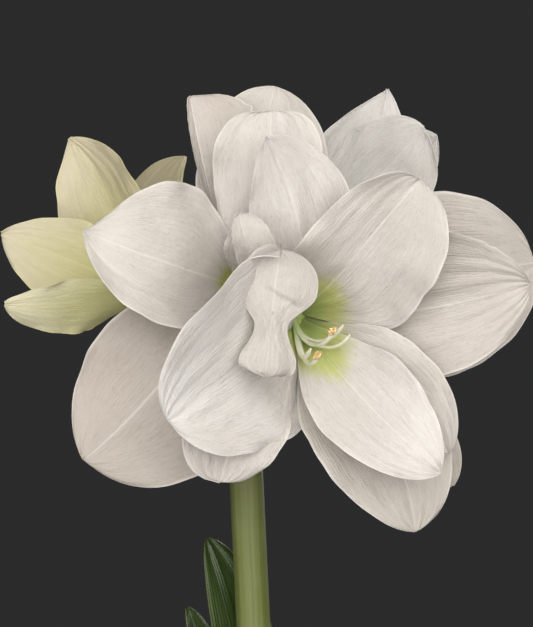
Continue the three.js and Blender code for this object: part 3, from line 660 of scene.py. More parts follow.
def stalk_look(name, pale, deep, bloom, roughness):
    """A fleshy green stalk: long faint streaks, a waxy bloom that is rubbed off in places, and pores."""
    look = Look(name)
    aside, along = look.value("aside"), look.value("along")
    tone = look.value("tone")
    streaks = look.noise(look.stretched(aside, 9.0, along, 3.0, tone), 1.0, 4.0, 0.6)
    clouds = look.noise(look.object_place, 40.0, 4.0)
    pores = look.cells(look.object_place, 650.0)
    colour = look.mixed(look.ramp(streaks, 0.35, 0.7), pale, deep)
    colour = look.tinted(colour, bloom, clouds, 0.4, 0.65, 0.55)
    colour = look.tinted(colour, deep, pores, 0.12, 0.0, 0.25)
    normal = look.bump(streaks, 0.4, 0.0006)
    normal = look.bump(pores, 0.2, 0.0002, normal)
    rough = look.ramp(clouds, 0.3, 0.7, roughness - 0.08, roughness + 0.1)
    return look.finish(look.surface(colour, rough, normal, Specular_IOR_Level=0.4))


def leaf_look(name, dark, light, edge):
    """A strap leaf: parallel veins, a dull waxy gloss, paler margins and a root that pales into the neck."""
    look = Look(name)
    aside, along = look.value("aside"), look.value("along")
    tone = look.value("tone")
    veins = look.noise(look.stretched(aside, 16.0, along, 1.6, tone), 1.0, 4.0, 0.6)
    ribs = look.node("ShaderNodeMath", {"operation": "SINE"}, i0=look.times(aside, 60.0)).outputs[0]
    clouds = look.noise(look.object_place, 30.0, 4.0)
    pores = look.cells(look.object_place, 900.0)
    colour = look.mixed(look.ramp(veins, 0.35, 0.7), dark, light)
    colour = look.tinted(colour, light, clouds, 0.4, 0.7, 0.35)
    colour = look.tinted(colour, edge, look.size_of(aside), 0.9, 1.0, 0.5)
    colour = look.tinted(colour, edge, along, 0.3, 0.02, 0.8)
    normal = look.bump(ribs, 0.15, 0.0003)
    normal = look.bump(veins, 0.35, 0.0005, normal)
    normal = look.bump(pores, 0.15, 0.0002, normal)
    rough = look.ramp(clouds, 0.3, 0.7, 0.3, 0.46)
    front = look.surface(colour, rough, normal, Specular_IOR_Level=0.5)
    return look.finish(look.thin(front, colour, normal, 0.12))


def bulb_look():
    """Papery brown skins: upright fibres, paler where an older skin has come away, and stained."""
    look = Look("bulb_skin")
    aside, along = look.value("aside"), look.value("along")
    torn = look.value("tone")
    fibres = look.noise(look.stretched(aside, 34.0, along, 1.2, torn), 1.0, 5.0, 0.65)
    fine = look.noise(look.stretched(aside, 110.0, along, 3.0, torn), 1.0, 3.0, 0.6)
    stains = look.noise(look.object_place, 45.0, 5.0, 0.6)
    colour = look.mixed(look.ramp(fibres, 0.3, 0.7), rgb(0.19, 0.085, 0.035), rgb(0.42, 0.235, 0.115))
    colour = look.tinted(colour, rgb(0.56, 0.4, 0.22), torn, 0.2, 0.9)
    colour = look.tinted(colour, rgb(0.1, 0.045, 0.02), stains, 0.5, 0.75, 0.7)
    colour = look.tinted(colour, rgb(0.52, 0.36, 0.2), fine, 0.55, 0.8, 0.4)
    normal = look.bump(fibres, 0.7, 0.0009)
    normal = look.bump(fine, 0.6, 0.0004, normal)
    rough = look.ramp(stains, 0.3, 0.7, 0.45, 0.8)
    return look.finish(look.surface(colour, rough, normal, Specular_IOR_Level=0.35))


def soil_look():
    """Potting soil: dark peat with browner fibre and fine grit."""
    look = Look("soil")
    tone = look.value("tone")
    lumps = look.noise(look.object_place, 260.0, 6.0, 0.7)
    grit = look.cells(look.object_place, 900.0)
    fibres = look.noise(look.object_place, 120.0, 6.0, 0.75)
    colour = look.mixed(look.ramp(lumps, 0.35, 0.7), rgb(0.012, 0.008, 0.006), rgb(0.055, 0.034, 0.021))
    colour = look.mixed(look.times(tone, 0.8), colour, rgb(0.115, 0.07, 0.04))
    colour = look.tinted(colour, rgb(0.15, 0.09, 0.05), fibres, 0.6, 0.75, 0.6)
    normal = look.bump(lumps, 0.9, 0.0015)
    normal = look.bump(grit, 0.6, 0.0005, normal)
    rough = look.ramp(lumps, 0.3, 0.7, 0.82, 1.0)
    return look.finish(look.surface(colour, rough, normal, Specular_IOR_Level=0.2))


def clay_look():
    """Unglazed clay: turning marks, sandy grain, darker fired patches, and pale lime near rim and foot."""
    look = Look("clay")
    height = look.node("ShaderNodeSeparateXYZ", i0=look.object_place).outputs["Z"]
    flat = look.node("ShaderNodeVectorMath", {"operation": "MULTIPLY"}, i0=look.object_place, i1=(6, 6, 420))
    marks = look.noise(flat.outputs[0], 1.0, 4.0, 0.6)
    grain = look.noise(look.object_place, 1400.0, 3.0, 0.7)
    grit = look.cells(look.object_place, 700.0)
    clouds = look.noise(look.object_place, 18.0, 5.0, 0.6)
    scurf = look.noise(look.object_place, 90.0, 6.0, 0.7)
    colour = look.mixed(look.ramp(clouds, 0.35, 0.7), rgb(0.47, 0.16, 0.065), rgb(0.37, 0.115, 0.045))
    colour = look.tinted(colour, rgb(0.55, 0.22, 0.1), marks, 0.5, 0.75, 0.3)
    colour = look.tinted(colour, rgb(0.6, 0.3, 0.17), grain, 0.55, 0.8, 0.4)
    near_foot = look.ramp(height, 0.03, 0.0)
    near_rim = look.ramp(height, 0.09, 0.125)
    limed = look.times(look.ramp(scurf, 0.46, 0.68), look.sum(near_foot, near_rim, "MAXIMUM"))
    colour = look.mixed(look.times(limed, 0.5), colour, rgb(0.66, 0.52, 0.42))
    colour = look.tinted(colour, rgb(0.2, 0.07, 0.03), grit, 0.1, 0.0, 0.5)
    normal = look.bump(marks, 0.35, 0.0006)
    normal = look.bump(grain, 0.5, 0.0003, normal)
    normal = look.bump(grit, 0.3, 0.0003, normal)
    rough = look.ramp(clouds, 0.3, 0.7, 0.78, 0.95)
    return look.finish(look.surface(colour, rough, normal, Specular_IOR_Level=0.25))


def filament_look():
    """Cream filaments, greener towards the root, with a satin gloss."""
    look = Look("filament")
    along, aside = look.value("along"), look.value("aside")
    streaks = look.noise(look.stretched(aside, 6.0, along, 2.0, 0.0), 1.0, 3.0)
    colour = look.mixed(look.ramp(along, 0.12, 0.5), rgb(0.5, 0.6, 0.26), rgb(0.88, 0.88, 0.72))
    colour = look.tinted(colour, rgb(0.9, 0.9, 0.82), streaks, 0.4, 0.7, 0.3)
    normal = look.bump(streaks, 0.3, 0.0002)
    rough = look.ramp(streaks, 0.3, 0.7, 0.35, 0.5)
    return look.finish(look.surface(colour, rough, normal, Specular_IOR_Level=0.45))


def anther_look():
    """Anthers covered in grains of yellow-orange pollen."""
    look = Look("anther")
    grains = look.cells(look.object_place, 2600.0)
    clouds = look.noise(look.object_place, 900.0, 3.0)
    colour = look.mixed(look.ramp(grains, 0.1, 0.5), rgb(0.86, 0.66, 0.3), rgb(0.55, 0.34, 0.09))
    colour = look.tinted(colour, rgb(0.93, 0.82, 0.52), clouds, 0.45, 0.65)
    normal = look.bump(grains, 1.0, 0.0004)
    rough = look.ramp(clouds, 0.3, 0.7, 0.75, 0.95)
    return look.finish(look.surface(colour, rough, normal, Specular_IOR_Level=0.2))


def floor_look():
    """A plain pale studio surface."""
    look = Look("studio_floor")
    clouds = look.noise(look.object_place, 6.0, 3.0)
    colour = look.mixed(look.ramp(clouds, 0.3, 0.7), rgb(0.6, 0.6, 0.59), rgb(0.64, 0.64, 0.63))
    normal = look.bump(look.noise(look.object_place, 400.0, 2.0), 0.1, 0.0002)
    rough = look.ramp(clouds, 0.3, 0.7, 0.6, 0.7)
    return look.finish(look.surface(colour, rough, normal))


# Tepals
def tepal_half_width(p, t):
    """Half the width along a tepal: a narrow claw, the widest place, and a rounded or pointed apex."""
    growing = lerp(p["claw"], p["width"] / 2, np.sin(math.pi / 2 * np.clip(t / p["widest"], 0, 1)) ** 2)
    past = np.clip((t - p["widest"]) / (1 - p["widest"]), 0, 1)
    closing = np.maximum(p["width"] / 2 * (1 - past**2.3) ** p["blunt"], TEPAL_TIP)
    uneven = 0.012 * np.sin(TURN * (2.7 * t + p["phase"])) + 0.006 * np.sin(TURN * (7.3 * t))
    torn = p["ragged"] * 0.03 * ripples(t[..., None] * 100, 5, 3) * smooth((t - 0.8) / 0.1)
    return np.where(t < p["widest"], growing, closing) * (1 + (uneven + torn) * smooth((t - 0.3) / 0.3))


def tepal_blade(bloom, p, seed):
    """A tepal, from its apex and its bloom's base and axis. It runs forward in the funnel, then turns out."""
    base, apex = np.array(bloom["base"], float), np.array(p["apex"], float)
    axis = unit(np.array(bloom["axis"], float))
    span = apex - base
    radial = unit(span - span @ axis * axis)
    across = np.cross(axis, radial)
    root_r = ROOT_R - LAYER_STEP * p["layer"]
    handle = p["reach"] * np.linalg.norm(span)
    lie = math.radians(p["lie"])

    def off(start, forward, out, side):
        return start + forward * axis + out * radial + side * across

    spine = (
        off(base, ROOT_DEPTH, root_r, 0),
        off(base, p["funnel"], p["mouth"] + root_r - ROOT_R, p["sway"] / 3),
        off(apex, -handle * math.sin(lie), -handle * math.cos(lie), p["sway"]),
        apex,
    )
    if "waist" in p:
        waist = np.array(p["waist"], float)
        spine = (spine[0], waist, np.array(p["shoulder"], float), apex)
        across = RIGHT
    root_bend = math.degrees(p["claw"] / root_r)

    def bend(t, s):
        opened = smooth(t / 0.4)
        edge = np.where(s > 0, smooth((s - 0.35) / 0.65) * smooth((t - 0.1) / 0.35), 0)
        turned_rim = p["rim"] * np.sign(s) * smooth((np.abs(s) - 0.8) / 0.2) * smooth((t - 0.25) / 0.3)
        turned_rim = turned_rim * (1 + np.sin(TURN * (1.6 * t + p["phase"]) + 2 * s))
        across_bend = lerp(root_bend, p["cup"], opened) * s + p["fold"] * opened * np.tanh(s / 0.1)
        return np.radians(across_bend + p["curlRight"] * edge + turned_rim)

    def relief(t, s):
        margin = np.abs(s) ** 2.4 * smooth((t - 0.15) / 0.35)
        waves = p["wave"] * margin * np.sin(TURN * (WAVES * t + p["phase"]) + 1.9 * s)
        frills = 0.45 * p["wave"] * np.abs(s) ** 5 * smooth((t - 0.25) / 0.3)
        frills = frills * np.sin(TURN * (5.2 * t + 3 * p["phase"]) + 3.1 * s)
        body = (1 - s**4) * smooth((t - 0.1) / 0.3)
        rib = -p["midrib"] * np.exp(-((s / 0.05) ** 2)) * smooth((t - 0.1) / 0.2) * (1 - 0.5 * t)
        pleats = p["pleats"] * body * np.cos(TURN * (4.2 * s + 0.3 * np.sin(3 * t + 6 * p["phase"])))
        flat = flat_places(t, s, p["width"], np.linalg.norm(span))
        soft = 0.35 * body * ripples(flat * (1, 0.45), 13, seed)
        crumple = 0.07 * body * ripples(flat * (1, 0.5), 3.4, seed + 1)
        return waves + frills + rib + pleats + soft + crumple

    def thickness(t, s):
        return 0.34 + 0.16 * (1 - s**2) + 0.35 * np.exp(-((s / 0.08) ** 2)) * (1 - t)

    def half_width(t):
        return tepal_half_width(p, t)

    return {
        "spine": spine, "across": across, "roll": p["roll"], "lopsided": p["lopsided"],
        "half_width": half_width, "bend": bend, "relief": relief, "thickness": thickness,
    }


def ruffle_blade(ruffle, seed):
    """The ruffled petal-like stamen beside the throat: a skirt, a waist, and a wider top with one lobe folded
    forward, in soft upright folds."""
    waist_at = ruffle["waist_at"]

    def half_width(t):
        low = lerp(ruffle["hem"], ruffle["waist"], smooth((t - RUFFLE_HEM) / (waist_at - RUFFLE_HEM_RUN)))
        high = lerp(ruffle["waist"], ruffle["top"], smooth((t - waist_at) / RUFFLE_FLARE))
        hem_end = 1 - np.clip((RUFFLE_HEM_ROUND - t) / RUFFLE_HEM_ROUND, 0, 1) ** 3
        top_end = 1 - np.clip((t - 1 + RUFFLE_TOP_ROUND) / RUFFLE_TOP_ROUND, 0, 1) ** 2.2
        ends = np.minimum(hem_end, top_end) ** 0.5
        return np.maximum(np.where(t < waist_at, low, high) / 2 * ends, TEPAL_TIP)

    def relief(t, s):
        ruffled = 0.3 + smooth(np.abs(t - waist_at) / 0.4)
        folds = RUFFLE_FOLDS * np.cos(TURN * (0.95 * s + 0.12) + 2.2 * t)
        frills = 0.35 * np.abs(s) * np.cos(TURN * (3.1 * t + s))
        hem_roll = 1.4 * np.clip((RUFFLE_HEM_ROUND - t) / RUFFLE_HEM_ROUND, 0, 1) ** 2
        lobe_edge = lerp(*RUFFLE_LOBE_EDGES, smooth((t - 0.55) / 0.22)) + 0.12 * smooth((t - 0.8) / 0.2)
        lobe = smooth((s - lobe_edge) / 0.22) * smooth((t - 0.52) / 0.25)
        bulge = lobe * RUFFLE_LOBE_DEPTH * (2 - np.clip((s - 0.35) / 0.65, -1, 1) ** 2)
        forward = RUFFLE_FORWARD * np.maximum(-s, 0) * smooth((t - waist_at) / 0.3)
        flat = flat_places(t, s, ruffle["hem"], RUFFLE_LENGTH)
        crumple = 0.14 * ripples(flat * (1, 0.7), 3.6, seed + 7)
        return ruffled * folds * (1 - lobe) + frills + hem_roll + crumple - bulge - forward

    return {
        "spine": ruffle["spine"], "across": RIGHT, "roll": 0, "lopsided": 0, "half_width": half_width,
        "bend": lambda t, s: np.radians(24 * s + 0 * t), "relief": relief,
        "thickness": lambda t, s: 0.5 + 0 * t + 0 * s,
    }


def bloom_parts(bloom, seed):
    """A bloom: its tepals and the short ribbed tube that they grow from."""
    base = np.array(bloom["base"], float)
    axis = unit(np.array(bloom["axis"], float))
    stations = np.linspace(0, 1, 9)
    place = base + np.outer(stations * THROAT_DEPTH, axis)

    def radius(t, angle):
        return lerp(TUBE_R - 1.5, TUBE_R, t) * (1 + 0.04 * np.cos(6 * angle))

    parts = [tube(place, np.tile(axis, (len(place), 1)), radius, 36)]
    tints = [(1, 0)]
    for number, given in enumerate(bloom["tepals"].values()):
        p = {**TEPAL, "mouth": bloom["mouth"], **given}
        rows, columns = SMALL_GRID if p["width"] < SMALL_WIDTH else LARGE_GRID
        blade = tepal_blade(bloom, p, seed + 10 * number)
        parts.append(blade_solid(blade, rows, columns, {"tone": (number + 1) / 14}))
        tints.append((p["green"], p["painted_shade"]))
    if "ruffle" in bloom:
        parts.append(blade_solid(ruffle_blade(bloom["ruffle"], seed), *RUFFLE_GRID, {"tone": 0.95}))
        tints.append((RUFFLE_GREEN, RUFFLE_PAINTED_SHADE))
    # depth is in centimetres from the base, and less where a bloom or a tepal is greener. Each point also
    # carries its tepal's share of painted shade, which darkens tepals that lie in shadow.
    for (points, _, values), (green, painted_shade) in zip(parts, tints):
        values["painted_shade"] = np.full(len(points), float(painted_shade))
        values["depth"] = np.linalg.norm(points - base, axis=1) / 10 / (bloom["green"] * green)
    return parts


# Leaves
def leaf_blade(leaf, seed):
    """A strap leaf, hollowed across, from its pocket in the neck to its tip."""
    angle = math.radians(leaf["angle"])
    outward = np.array([math.cos(angle), math.sin(angle), 0])
    root = outward * leaf["ring"] + UP * (NECK_TOP - NECK_POCKET)
    tip = np.array(leaf["tip"], float)
    length = np.linalg.norm(tip - root)
    level = unit((tip - root) * (1, 1, 0))
    lean = math.radians(leaf["lean"])
    rise = level * math.sin(lean) + UP * math.cos(lean)
    root_bend = math.degrees(LEAF_ROOT_WIDTH / 2 / leaf["ring"])

    def half_width(t):
        closing = (1 - np.maximum((t - 0.55) / 0.45, 0) ** 2.2) ** 0.6
        widening = lerp(LEAF_ROOT_WIDTH / 2, leaf["width"] / 2, smooth((t - 0.08) / 0.5))
        return np.maximum(widening * closing, LEAF_EDGE)

    def relief(t, s):
        free = smooth((t - 0.12) / 0.2)
        ribs = 0.1 * np.cos(TURN * 6 * s)
        soft = 0.35 * ripples(flat_places(t, s, leaf["width"], length) * (1, 0.3), 14, seed)
        return free * (ribs + soft) - free * 0.5 * np.exp(-((s / 0.08) ** 2))

    return {
        "spine": (root, root + UP * length * 0.4, tip - rise * length * 0.3, tip),
        "across": np.cross(UP, outward), "roll": 0, "lopsided": 0, "half_width": half_width,
        "bend": lambda t, s: np.radians(lerp(root_bend, LEAF_CHANNEL, smooth(t / 0.5)) * s),
        "relief": relief,
        "thickness": lambda t, s: lerp(LEAF_THICKNESS, LEAF_EDGE, s**2) - 0.5 * np.abs(s) ** 8 + 0 * t,
    }


# Scape and flower stalks
def scape_parts():
    """The scape, which widens a little where the flower stalks stand on it, with very low ribs."""
    stations = np.linspace(0, 1, 121)
    start, end = np.array(SCAPE_BASE, float), np.array(SCAPE_TOP, float)
    place = start + np.outer(stations, end - start)

    def radius(t, angle):
        taper = lerp(SCAPE_BASE_R, SCAPE_TOP_R, min(t / 0.45, 1))
        flare = smooth((t - 0.93) / 0.05) - smooth((t - 0.98) / 0.02)
        ribs = 0.12 * np.cos(9 * angle + 2 * t) + 0.08 * np.cos(17 * angle - 3 * t)
        return taper + SCAPE_FLARE * flare + ribs * smooth(t / 0.08)

    return [tube(place, np.tile(unit(end - start), (len(place), 1)), radius, 72)]


def pedicel_parts(bloom):
    """A flower stalk with the three-lobed ovary at its end, from the scape's top to a bloom's base."""
    along = unit(np.array(SCAPE_TOP, float) - SCAPE_BASE)
    angle = math.radians(bloom["stalk_angle"])
    aside = np.array([math.cos(angle), math.sin(angle), 0])
    aside = unit(aside - aside @ along * along)
    foot = np.array(SCAPE_TOP) + GAP * along + PEDICEL_CIRCLE_R * aside
    axis = unit(np.array(bloom["axis"], float))
    end = np.array(bloom["base"]) - GAP * axis
    reach = np.linalg.norm(end - foot)
    place, ahead = evenly_along((foot, foot + along * reach * 0.35, end - axis * reach * 0.5, end), 41)

    def radius(t, turn):
        swell = smooth((t - 0.5) / 0.25) * (1 - 0.35 * smooth((t - 0.85) / 0.15))
        ovary = (OVARY_R - PEDICEL_R) * swell * (1 + 0.25 * np.cos(3 * turn))
        return PEDICEL_R + ovary + 0.06 * np.cos(11 * turn)

    return [tube(place, ahead, radius, 36)]


# Stamens
def stamen_curves(bloom):
    """For each stamen, its curve from the throat, which sags before it turns up at the tip, and whether it
    has an anther."""
    axis = unit(np.array(bloom["axis"], float))
    root = np.array(bloom["base"]) + axis * (THROAT_DEPTH - 1)
    for stamen in STAMENS:
        tip = np.array(stamen["tip"], float)
        forward = np.linalg.norm(tip - root)
        sagging = tip - axis * 0.35 * forward - UP * FILAMENT_SAG
        yield (root, root + axis * 0.4 * forward + FILAMENT_DROP, sagging, tip), stamen["anther"]


def filament_parts(bloom):
    """Flattened filaments that thin towards their tips."""
    parts = []
    for path, _ in stamen_curves(bloom):
        place, ahead = evenly_along(path, 49)

        def radius(t, turn):
            return FILAMENT_R * (1.15 - 0.35 * t) * (1 - smooth((t - 0.93) / 0.09) * 0.7) + 0 * turn

        parts.append(tube(place, ahead, radius, 14, squeeze=lambda t: 0.62))
    return parts


def anther_parts(bloom):
    """Bean-shaped anthers, split lengthwise and shedding pollen."""
    parts = []
    for path, has_anther in stamen_curves(bloom):
        if not has_anther:
            continue
        tip = np.array(path[-1])
        half = np.array(ANTHER_HALF)
        bowed = np.array([0.6, 0, -0.9])
        path = (tip - half, tip - half / 3 - bowed, tip + half / 3 - bowed, tip + half)
        place, ahead = evenly_along(path, 29)

        def radius(t, turn):
            body = math.sqrt(max(1 - (2 * t - 1) ** 2, 0.02))
            lumps = 0.13 * np.sin(5 * turn + 9 * t) + 0.1 * np.sin(9 * turn - 23 * t)
            lumps = lumps + 0.12 * math.sin(31 * t)
            return ANTHER_R * body * (1 - 0.22 * np.exp(-(((turn - math.pi) / 0.5) ** 2)) + lumps)

        parts.append(tube(place, ahead, radius, 28))
    return parts


# Bulb, soil and pot
def pocket_depth(points):
    """How far down the neck's top is at each point: deep where the scape or a leaf stands in it."""
    level = points[..., :2]
    middle = np.array(SCAPE_BASE[:2]) + [-0.35, 0.1]
    deep = np.linalg.norm(level - middle, axis=-1) < SCAPE_BASE_R + GAP + 0.5
    for leaf in LEAVES.values():
        angle = math.radians(leaf["angle"])
        radius = np.linalg.norm(level, axis=-1)
        turn = np.arctan2(level[..., 1], level[..., 0]) - angle
        turn = (turn + math.pi) % TURN - math.pi
        reach = LEAF_ROOT_WIDTH / 2 / leaf["ring"] + 0.08
        deep |= (np.abs(turn) < reach) & (np.abs(radius - leaf["ring"]) < LEAF_THICKNESS / 2 + GAP + 0.5)
    return deep


def bulb_parts():
    """The bulb, with its dry skins in ribs above the soil, and a layered neck with pockets for leaves and
    scape."""
    buried = np.linspace(BULB_FOOT, SOIL_TOP - 4, 14)[1:]
    heights = np.concatenate([buried, np.linspace(SOIL_TOP - 3, NECK_TOP, 84)])
    outside = [(bulb_radius(z), z) for z in heights]
    top = [(r, NECK_TOP) for r in np.linspace(outside[-1][0], 0, 49)[1:-1]]
    profile = [(0, BULB_FOOT), *outside, *top, (0, NECK_TOP)]

    def relief(points):
        x, y, z = points.T
        around = np.arctan2(y, x)
        ribs = np.sin(5 * around + z / 30) + np.sin(9 * around - z / 22)
        shown = smooth((z - SOIL_TOP - 4) / 10)
        radius = np.hypot(x, y)
        outside_share = smooth(radius / 10)
        spread = np.stack([np.cos(around) * 30, np.sin(around) * 30, z * 0.12], -1)
        crinkles = 0.35 * ripples(spread, 5, 21) + 0.22 * ripples(spread, 2.4, 22)
        grown = 1 + (SKIN_RIB * ribs + crinkles / np.maximum(radius, 12)) * shown * outside_share
        moved = points * np.stack([grown, grown, np.ones_like(grown)], -1)
        on_top = z > NECK_TOP - 0.01
        layers = np.abs((radius / 2.3 + 0.35 * ripples(spread, 16, 23)) % 1 - 0.5)
        edge_height = 1.6 * ripples(spread * (1, 1, 0), 9, 24) * smooth((radius - 10) / 10)
        lowered = np.where(on_top, -3.2 * layers + edge_height - 0.6, 0)
        lowered = np.where(on_top & pocket_depth(points), -(NECK_POCKET + GAP + 0.4), lowered)
        moved[:, 2] += lowered
        return moved

    points, faces, _ = turned(profile, 192, relief)
    around = np.arctan2(points[:, 1], points[:, 0])
    z = points[:, 2]
    spread = np.stack([np.cos(around) * 30, np.sin(around) * 30, z * 0.35], -1)
    torn = smooth((ripples(spread, 26, 25) - 0.35) / 0.25) * smooth((z - SOIL_TOP - 6) / 12)
    inside_top = (np.hypot(points[:, 0], points[:, 1]) < 22) & (z > NECK_TOP - 6)
    torn = np.where(inside_top, 0.85, torn)
    values = {"along": (z - SOIL_TOP) / (NECK_TOP - SOIL_TOP), "aside": np.sin(around), "tone": torn}
    return [(points, faces, values), *skin_flakes()]


def skin_flakes():
    """Loose papery strips of the outermost skin, torn at their upper edges and lifted a little."""
    random = np.random.RandomState(8)
    parts = []
    for flake in range(SKIN_FLAKES):
        middle = flake * TURN / SKIN_FLAKES + random.uniform(-0.15, 0.15)
        width = random.uniform(0.26, 0.42)
        low, high = SOIL_TOP + 1.5, random.uniform(140, 172)
        t = np.linspace(0, 1, 33)[:, None]
        s = np.linspace(-1, 1, 19)[None, :]
        ragged = 1 + 0.06 * np.sin(9 * s + flake) + 0.05 * np.sin(23 * s + 2 * flake)
        z = low + (high - low) * t * ragged
        angle = middle + s * width * (1 - 0.45 * t) + 0.12 * np.sin(2.5 * t + flake)
        ribs = np.sin(5 * angle + z / 30) + np.sin(9 * angle - z / 22)
        rib_share = 1 + SKIN_RIB * smooth((z - SOIL_TOP - 4) / 10) * ribs
        lift = 0.75 + 1.5 * t**4 + 0.9 * np.abs(s) ** 6 * t + 0.2 * np.sin(14 * s + 3 * t)
        radius = bulb_radius(z) * rib_share + lift + 0.25
        rings = []
        for offset in (0, 0.3):
            r = radius + offset
            rings.append(np.stack([r * np.cos(angle), r * np.sin(angle), z], -1))
        inner_face, outer_face = rings
        ring = np.concatenate([outer_face, inner_face[:, ::-1]], axis=1)
        across = np.concatenate([np.sin(angle), np.sin(angle)[:, ::-1]], axis=1)
        along = (np.concatenate([z, z[:, ::-1]], axis=1) - SOIL_TOP) / (NECK_TOP - SOIL_TOP)
        parts.append(loft(ring, {"aside": across, "along": along, "tone": random.uniform(0, 0.25)}))
    return parts


def soil_height(x, y):
    """The height of the soil's crumbly top: the same long waves as its solid, and finer ones of its own."""
    coarse = CRUMB_HEIGHT * (np.sin(x / 4.1 + y / 9) + np.cos(y / 4.7 - x / 7))
    place = np.stack([x, y], -1)
    return SOIL_TOP + coarse + 0.7 * ripples(place, 5, 31) + 0.5 * ripples(place, 2.2, 32)


def soil_parts():
    """Soil with a plain hole for the bulb, and loose crumbs and bark on its top."""
    floor = POT_FLOOR + GAP
    outer_r = pot_outer_r(SOIL_TOP) - POT_WALL - GAP
    hole_r = bulb_radius(SOIL_TOP) + GAP
    wall = [(pot_outer_r(z) - POT_WALL - GAP, z) for z in np.linspace(floor, SOIL_TOP - 3, 6)]
    top = [(r, SOIL_TOP) for r in np.linspace(outer_r, hole_r, 44)]
    buried = [(r + GAP if r > 0 else 0, z if r > 0 else z - GAP) for r, z in BULB_PROFILE[:5]][::-1]

    def relief(points):
        x, y, z = points.T
        on_top = np.abs(z - SOIL_TOP) < 0.01
        height = np.where(on_top, soil_height(x, y), z)
        radius = np.maximum(np.hypot(x, y), 1e-6)
        at_bulb = on_top & (radius < hole_r + 0.01)
        wanted = np.where(at_bulb, bulb_radius(height) + GAP, radius)
        return np.stack([x * wanted / radius, y * wanted / radius, height], -1)

    body_points, body_faces, _ = turned([(0, floor), *wall, *top, *buried], 220, relief)
    parts = [(body_points, body_faces, {"tone": np.zeros(len(body_points))})]
    random = np.random.RandomState(5)
    for _ in range(CRUMBS):
        size = 0.5 + 2.2 * random.uniform() ** 3
        ring = random.uniform(hole_r + size + 0.6, outer_r - size - 0.4)
        turn = random.uniform(0, TURN)
        x, y = ring * math.cos(turn), ring * math.sin(turn)
        place = np.array([x, y, soil_height(np.array(x), np.array(y)) + 0.3 * size])
        parts.append(crumb(place, size, random))
    return parts


def crumb(place, size, random):
    """A crumb of soil or a chip of bark: a low, uneven lump."""
    stretch = random.uniform(0.6, 1.3, 3) * (1, 1, 0.6) * size
    if random.uniform() < 0.12:
        stretch = stretch * (1.8, 0.6, 0.5)
    way = random.uniform(0, TURN)
    rows = np.array([[-0.9, 0.35], [-0.35, 0.95], [0.35, 0.95], [0.9, 0.35]])
    angles = np.arange(6) * math.pi / 3
    rings = np.stack([
        rows[:, 1:] * np.cos(angles) * random.uniform(0.75, 1.2, (4, 6)),
        rows[:, 1:] * np.sin(angles) * random.uniform(0.75, 1.2, (4, 6)),
        rows[:, :1] + np.zeros(6),
    ], -1) * stretch
    turn = np.array([[math.cos(way), -math.sin(way), 0], [math.sin(way), math.cos(way), 0], [0, 0, 1]])
    return loft(rings @ turn.T + place, {"tone": random.uniform(0, 1)})


def pot_profile():
    """The pot's outline from the middle of its underside up the outside, over the lip and down inside."""
    lip_z = POT_HEIGHT - POT_RIM_HEIGHT
    inner_top = pot_outer_r(POT_HEIGHT) - POT_WALL

    def corner(r, z, start, size=POT_BEVEL):
        """Points round a corner whose centre is at (r, z), a quarter turn on from start degrees."""
        turns = [math.radians(start + 90 * i / 6) for i in range(7)]
        return [(r + size * math.cos(a), z + size * math.sin(a)) for a in turns]

    foot = corner(POT_BASE_R - POT_BEVEL, POT_BEVEL, -90)
    side = [(pot_outer_r(z), z) for z in np.linspace(2 * POT_BEVEL, lip_z - 0.6, 26)]
    under_lip = [(pot_outer_r(lip_z) + 0.6, lip_z)]
    lip = corner(POT_RIM_R - 2 * POT_BEVEL, lip_z + POT_BEVEL, -90)
    band = [(lerp(POT_RIM_R - POT_BEVEL, POT_RIM_R, share), lerp(lip_z + 3, POT_HEIGHT - 3, share))
            for share in np.linspace(0, 1, 8)]
    rim = corner(POT_RIM_R - POT_BEVEL, POT_HEIGHT - POT_BEVEL, 0)
    inner_rim = corner(inner_top + POT_BEVEL, POT_HEIGHT - POT_BEVEL, 90)
    inside = [(pot_outer_r(z) - POT_WALL, z) for z in np.linspace(POT_HEIGHT - 3, POT_FLOOR, 20)]
    base = [(r, 0) for r in (20, 40)]
    floor = [(r, POT_FLOOR) for r in (40, 20)]
    outside = [(0, 0), *base, *foot, *side, *under_lip, *lip, *band, *rim]
    return [*outside, *inner_rim, *inside, *floor, (0, POT_FLOOR)]


def pot_parts():
    """The pot, a little uneven and with faint turning marks."""
    def relief(points):
        x, y, z = points.T
        around = np.arctan2(y, x)
        radius = np.maximum(np.hypot(x, y), 1e-6)
        place = np.stack([np.cos(around) * 40, np.sin(around) * 40, z * 1.2], -1)
        turning = 0.06 * np.sin(z * 1.9) + 0.12 * ripples(place, 34, 41) + 0.05 * ripples(place, 7, 42)
        above = smooth((z - 3) / 4) * smooth((radius - 30) / 10)
        moved = radius + turning * above
        return np.stack([x * moved / radius, y * moved / radius, z], -1)

    return [turned(pot_profile(), 160, relief)]


def cut_drains(pot):
    """Cuts the drain holes through the pot's floor."""
    parts = []
    for degrees in DRAIN_ANGLES:
        angle = math.radians(degrees)
        x, y = DRAIN_CIRCLE_R * math.cos(angle), DRAIN_CIRCLE_R * math.sin(angle)
        place = np.array([[x, y, -2], [x, y, POT_FLOOR + 2]], float)
        parts.append(tube(place, np.tile(UP, (2, 1)), lambda t, turn: DRAIN_R + 0 * turn, 32))
    points, faces, _ = joined(parts)
    drill = new_object("drill", new_mesh("drill", points, faces))
    cut = pot.modifiers.new("drains", "BOOLEAN")
    cut.operation = "DIFFERENCE"
    cut.object = drill
    bpy.context.view_layer.update()
    drilled = bpy.data.meshes.new_from_object(pot.evaluated_get(bpy.context.evaluated_depsgraph_get()))
    pot.modifiers.remove(cut)
    pot.data = drilled
    pot.data.name = "pot_shell"
    bpy.data.objects.remove(drill)


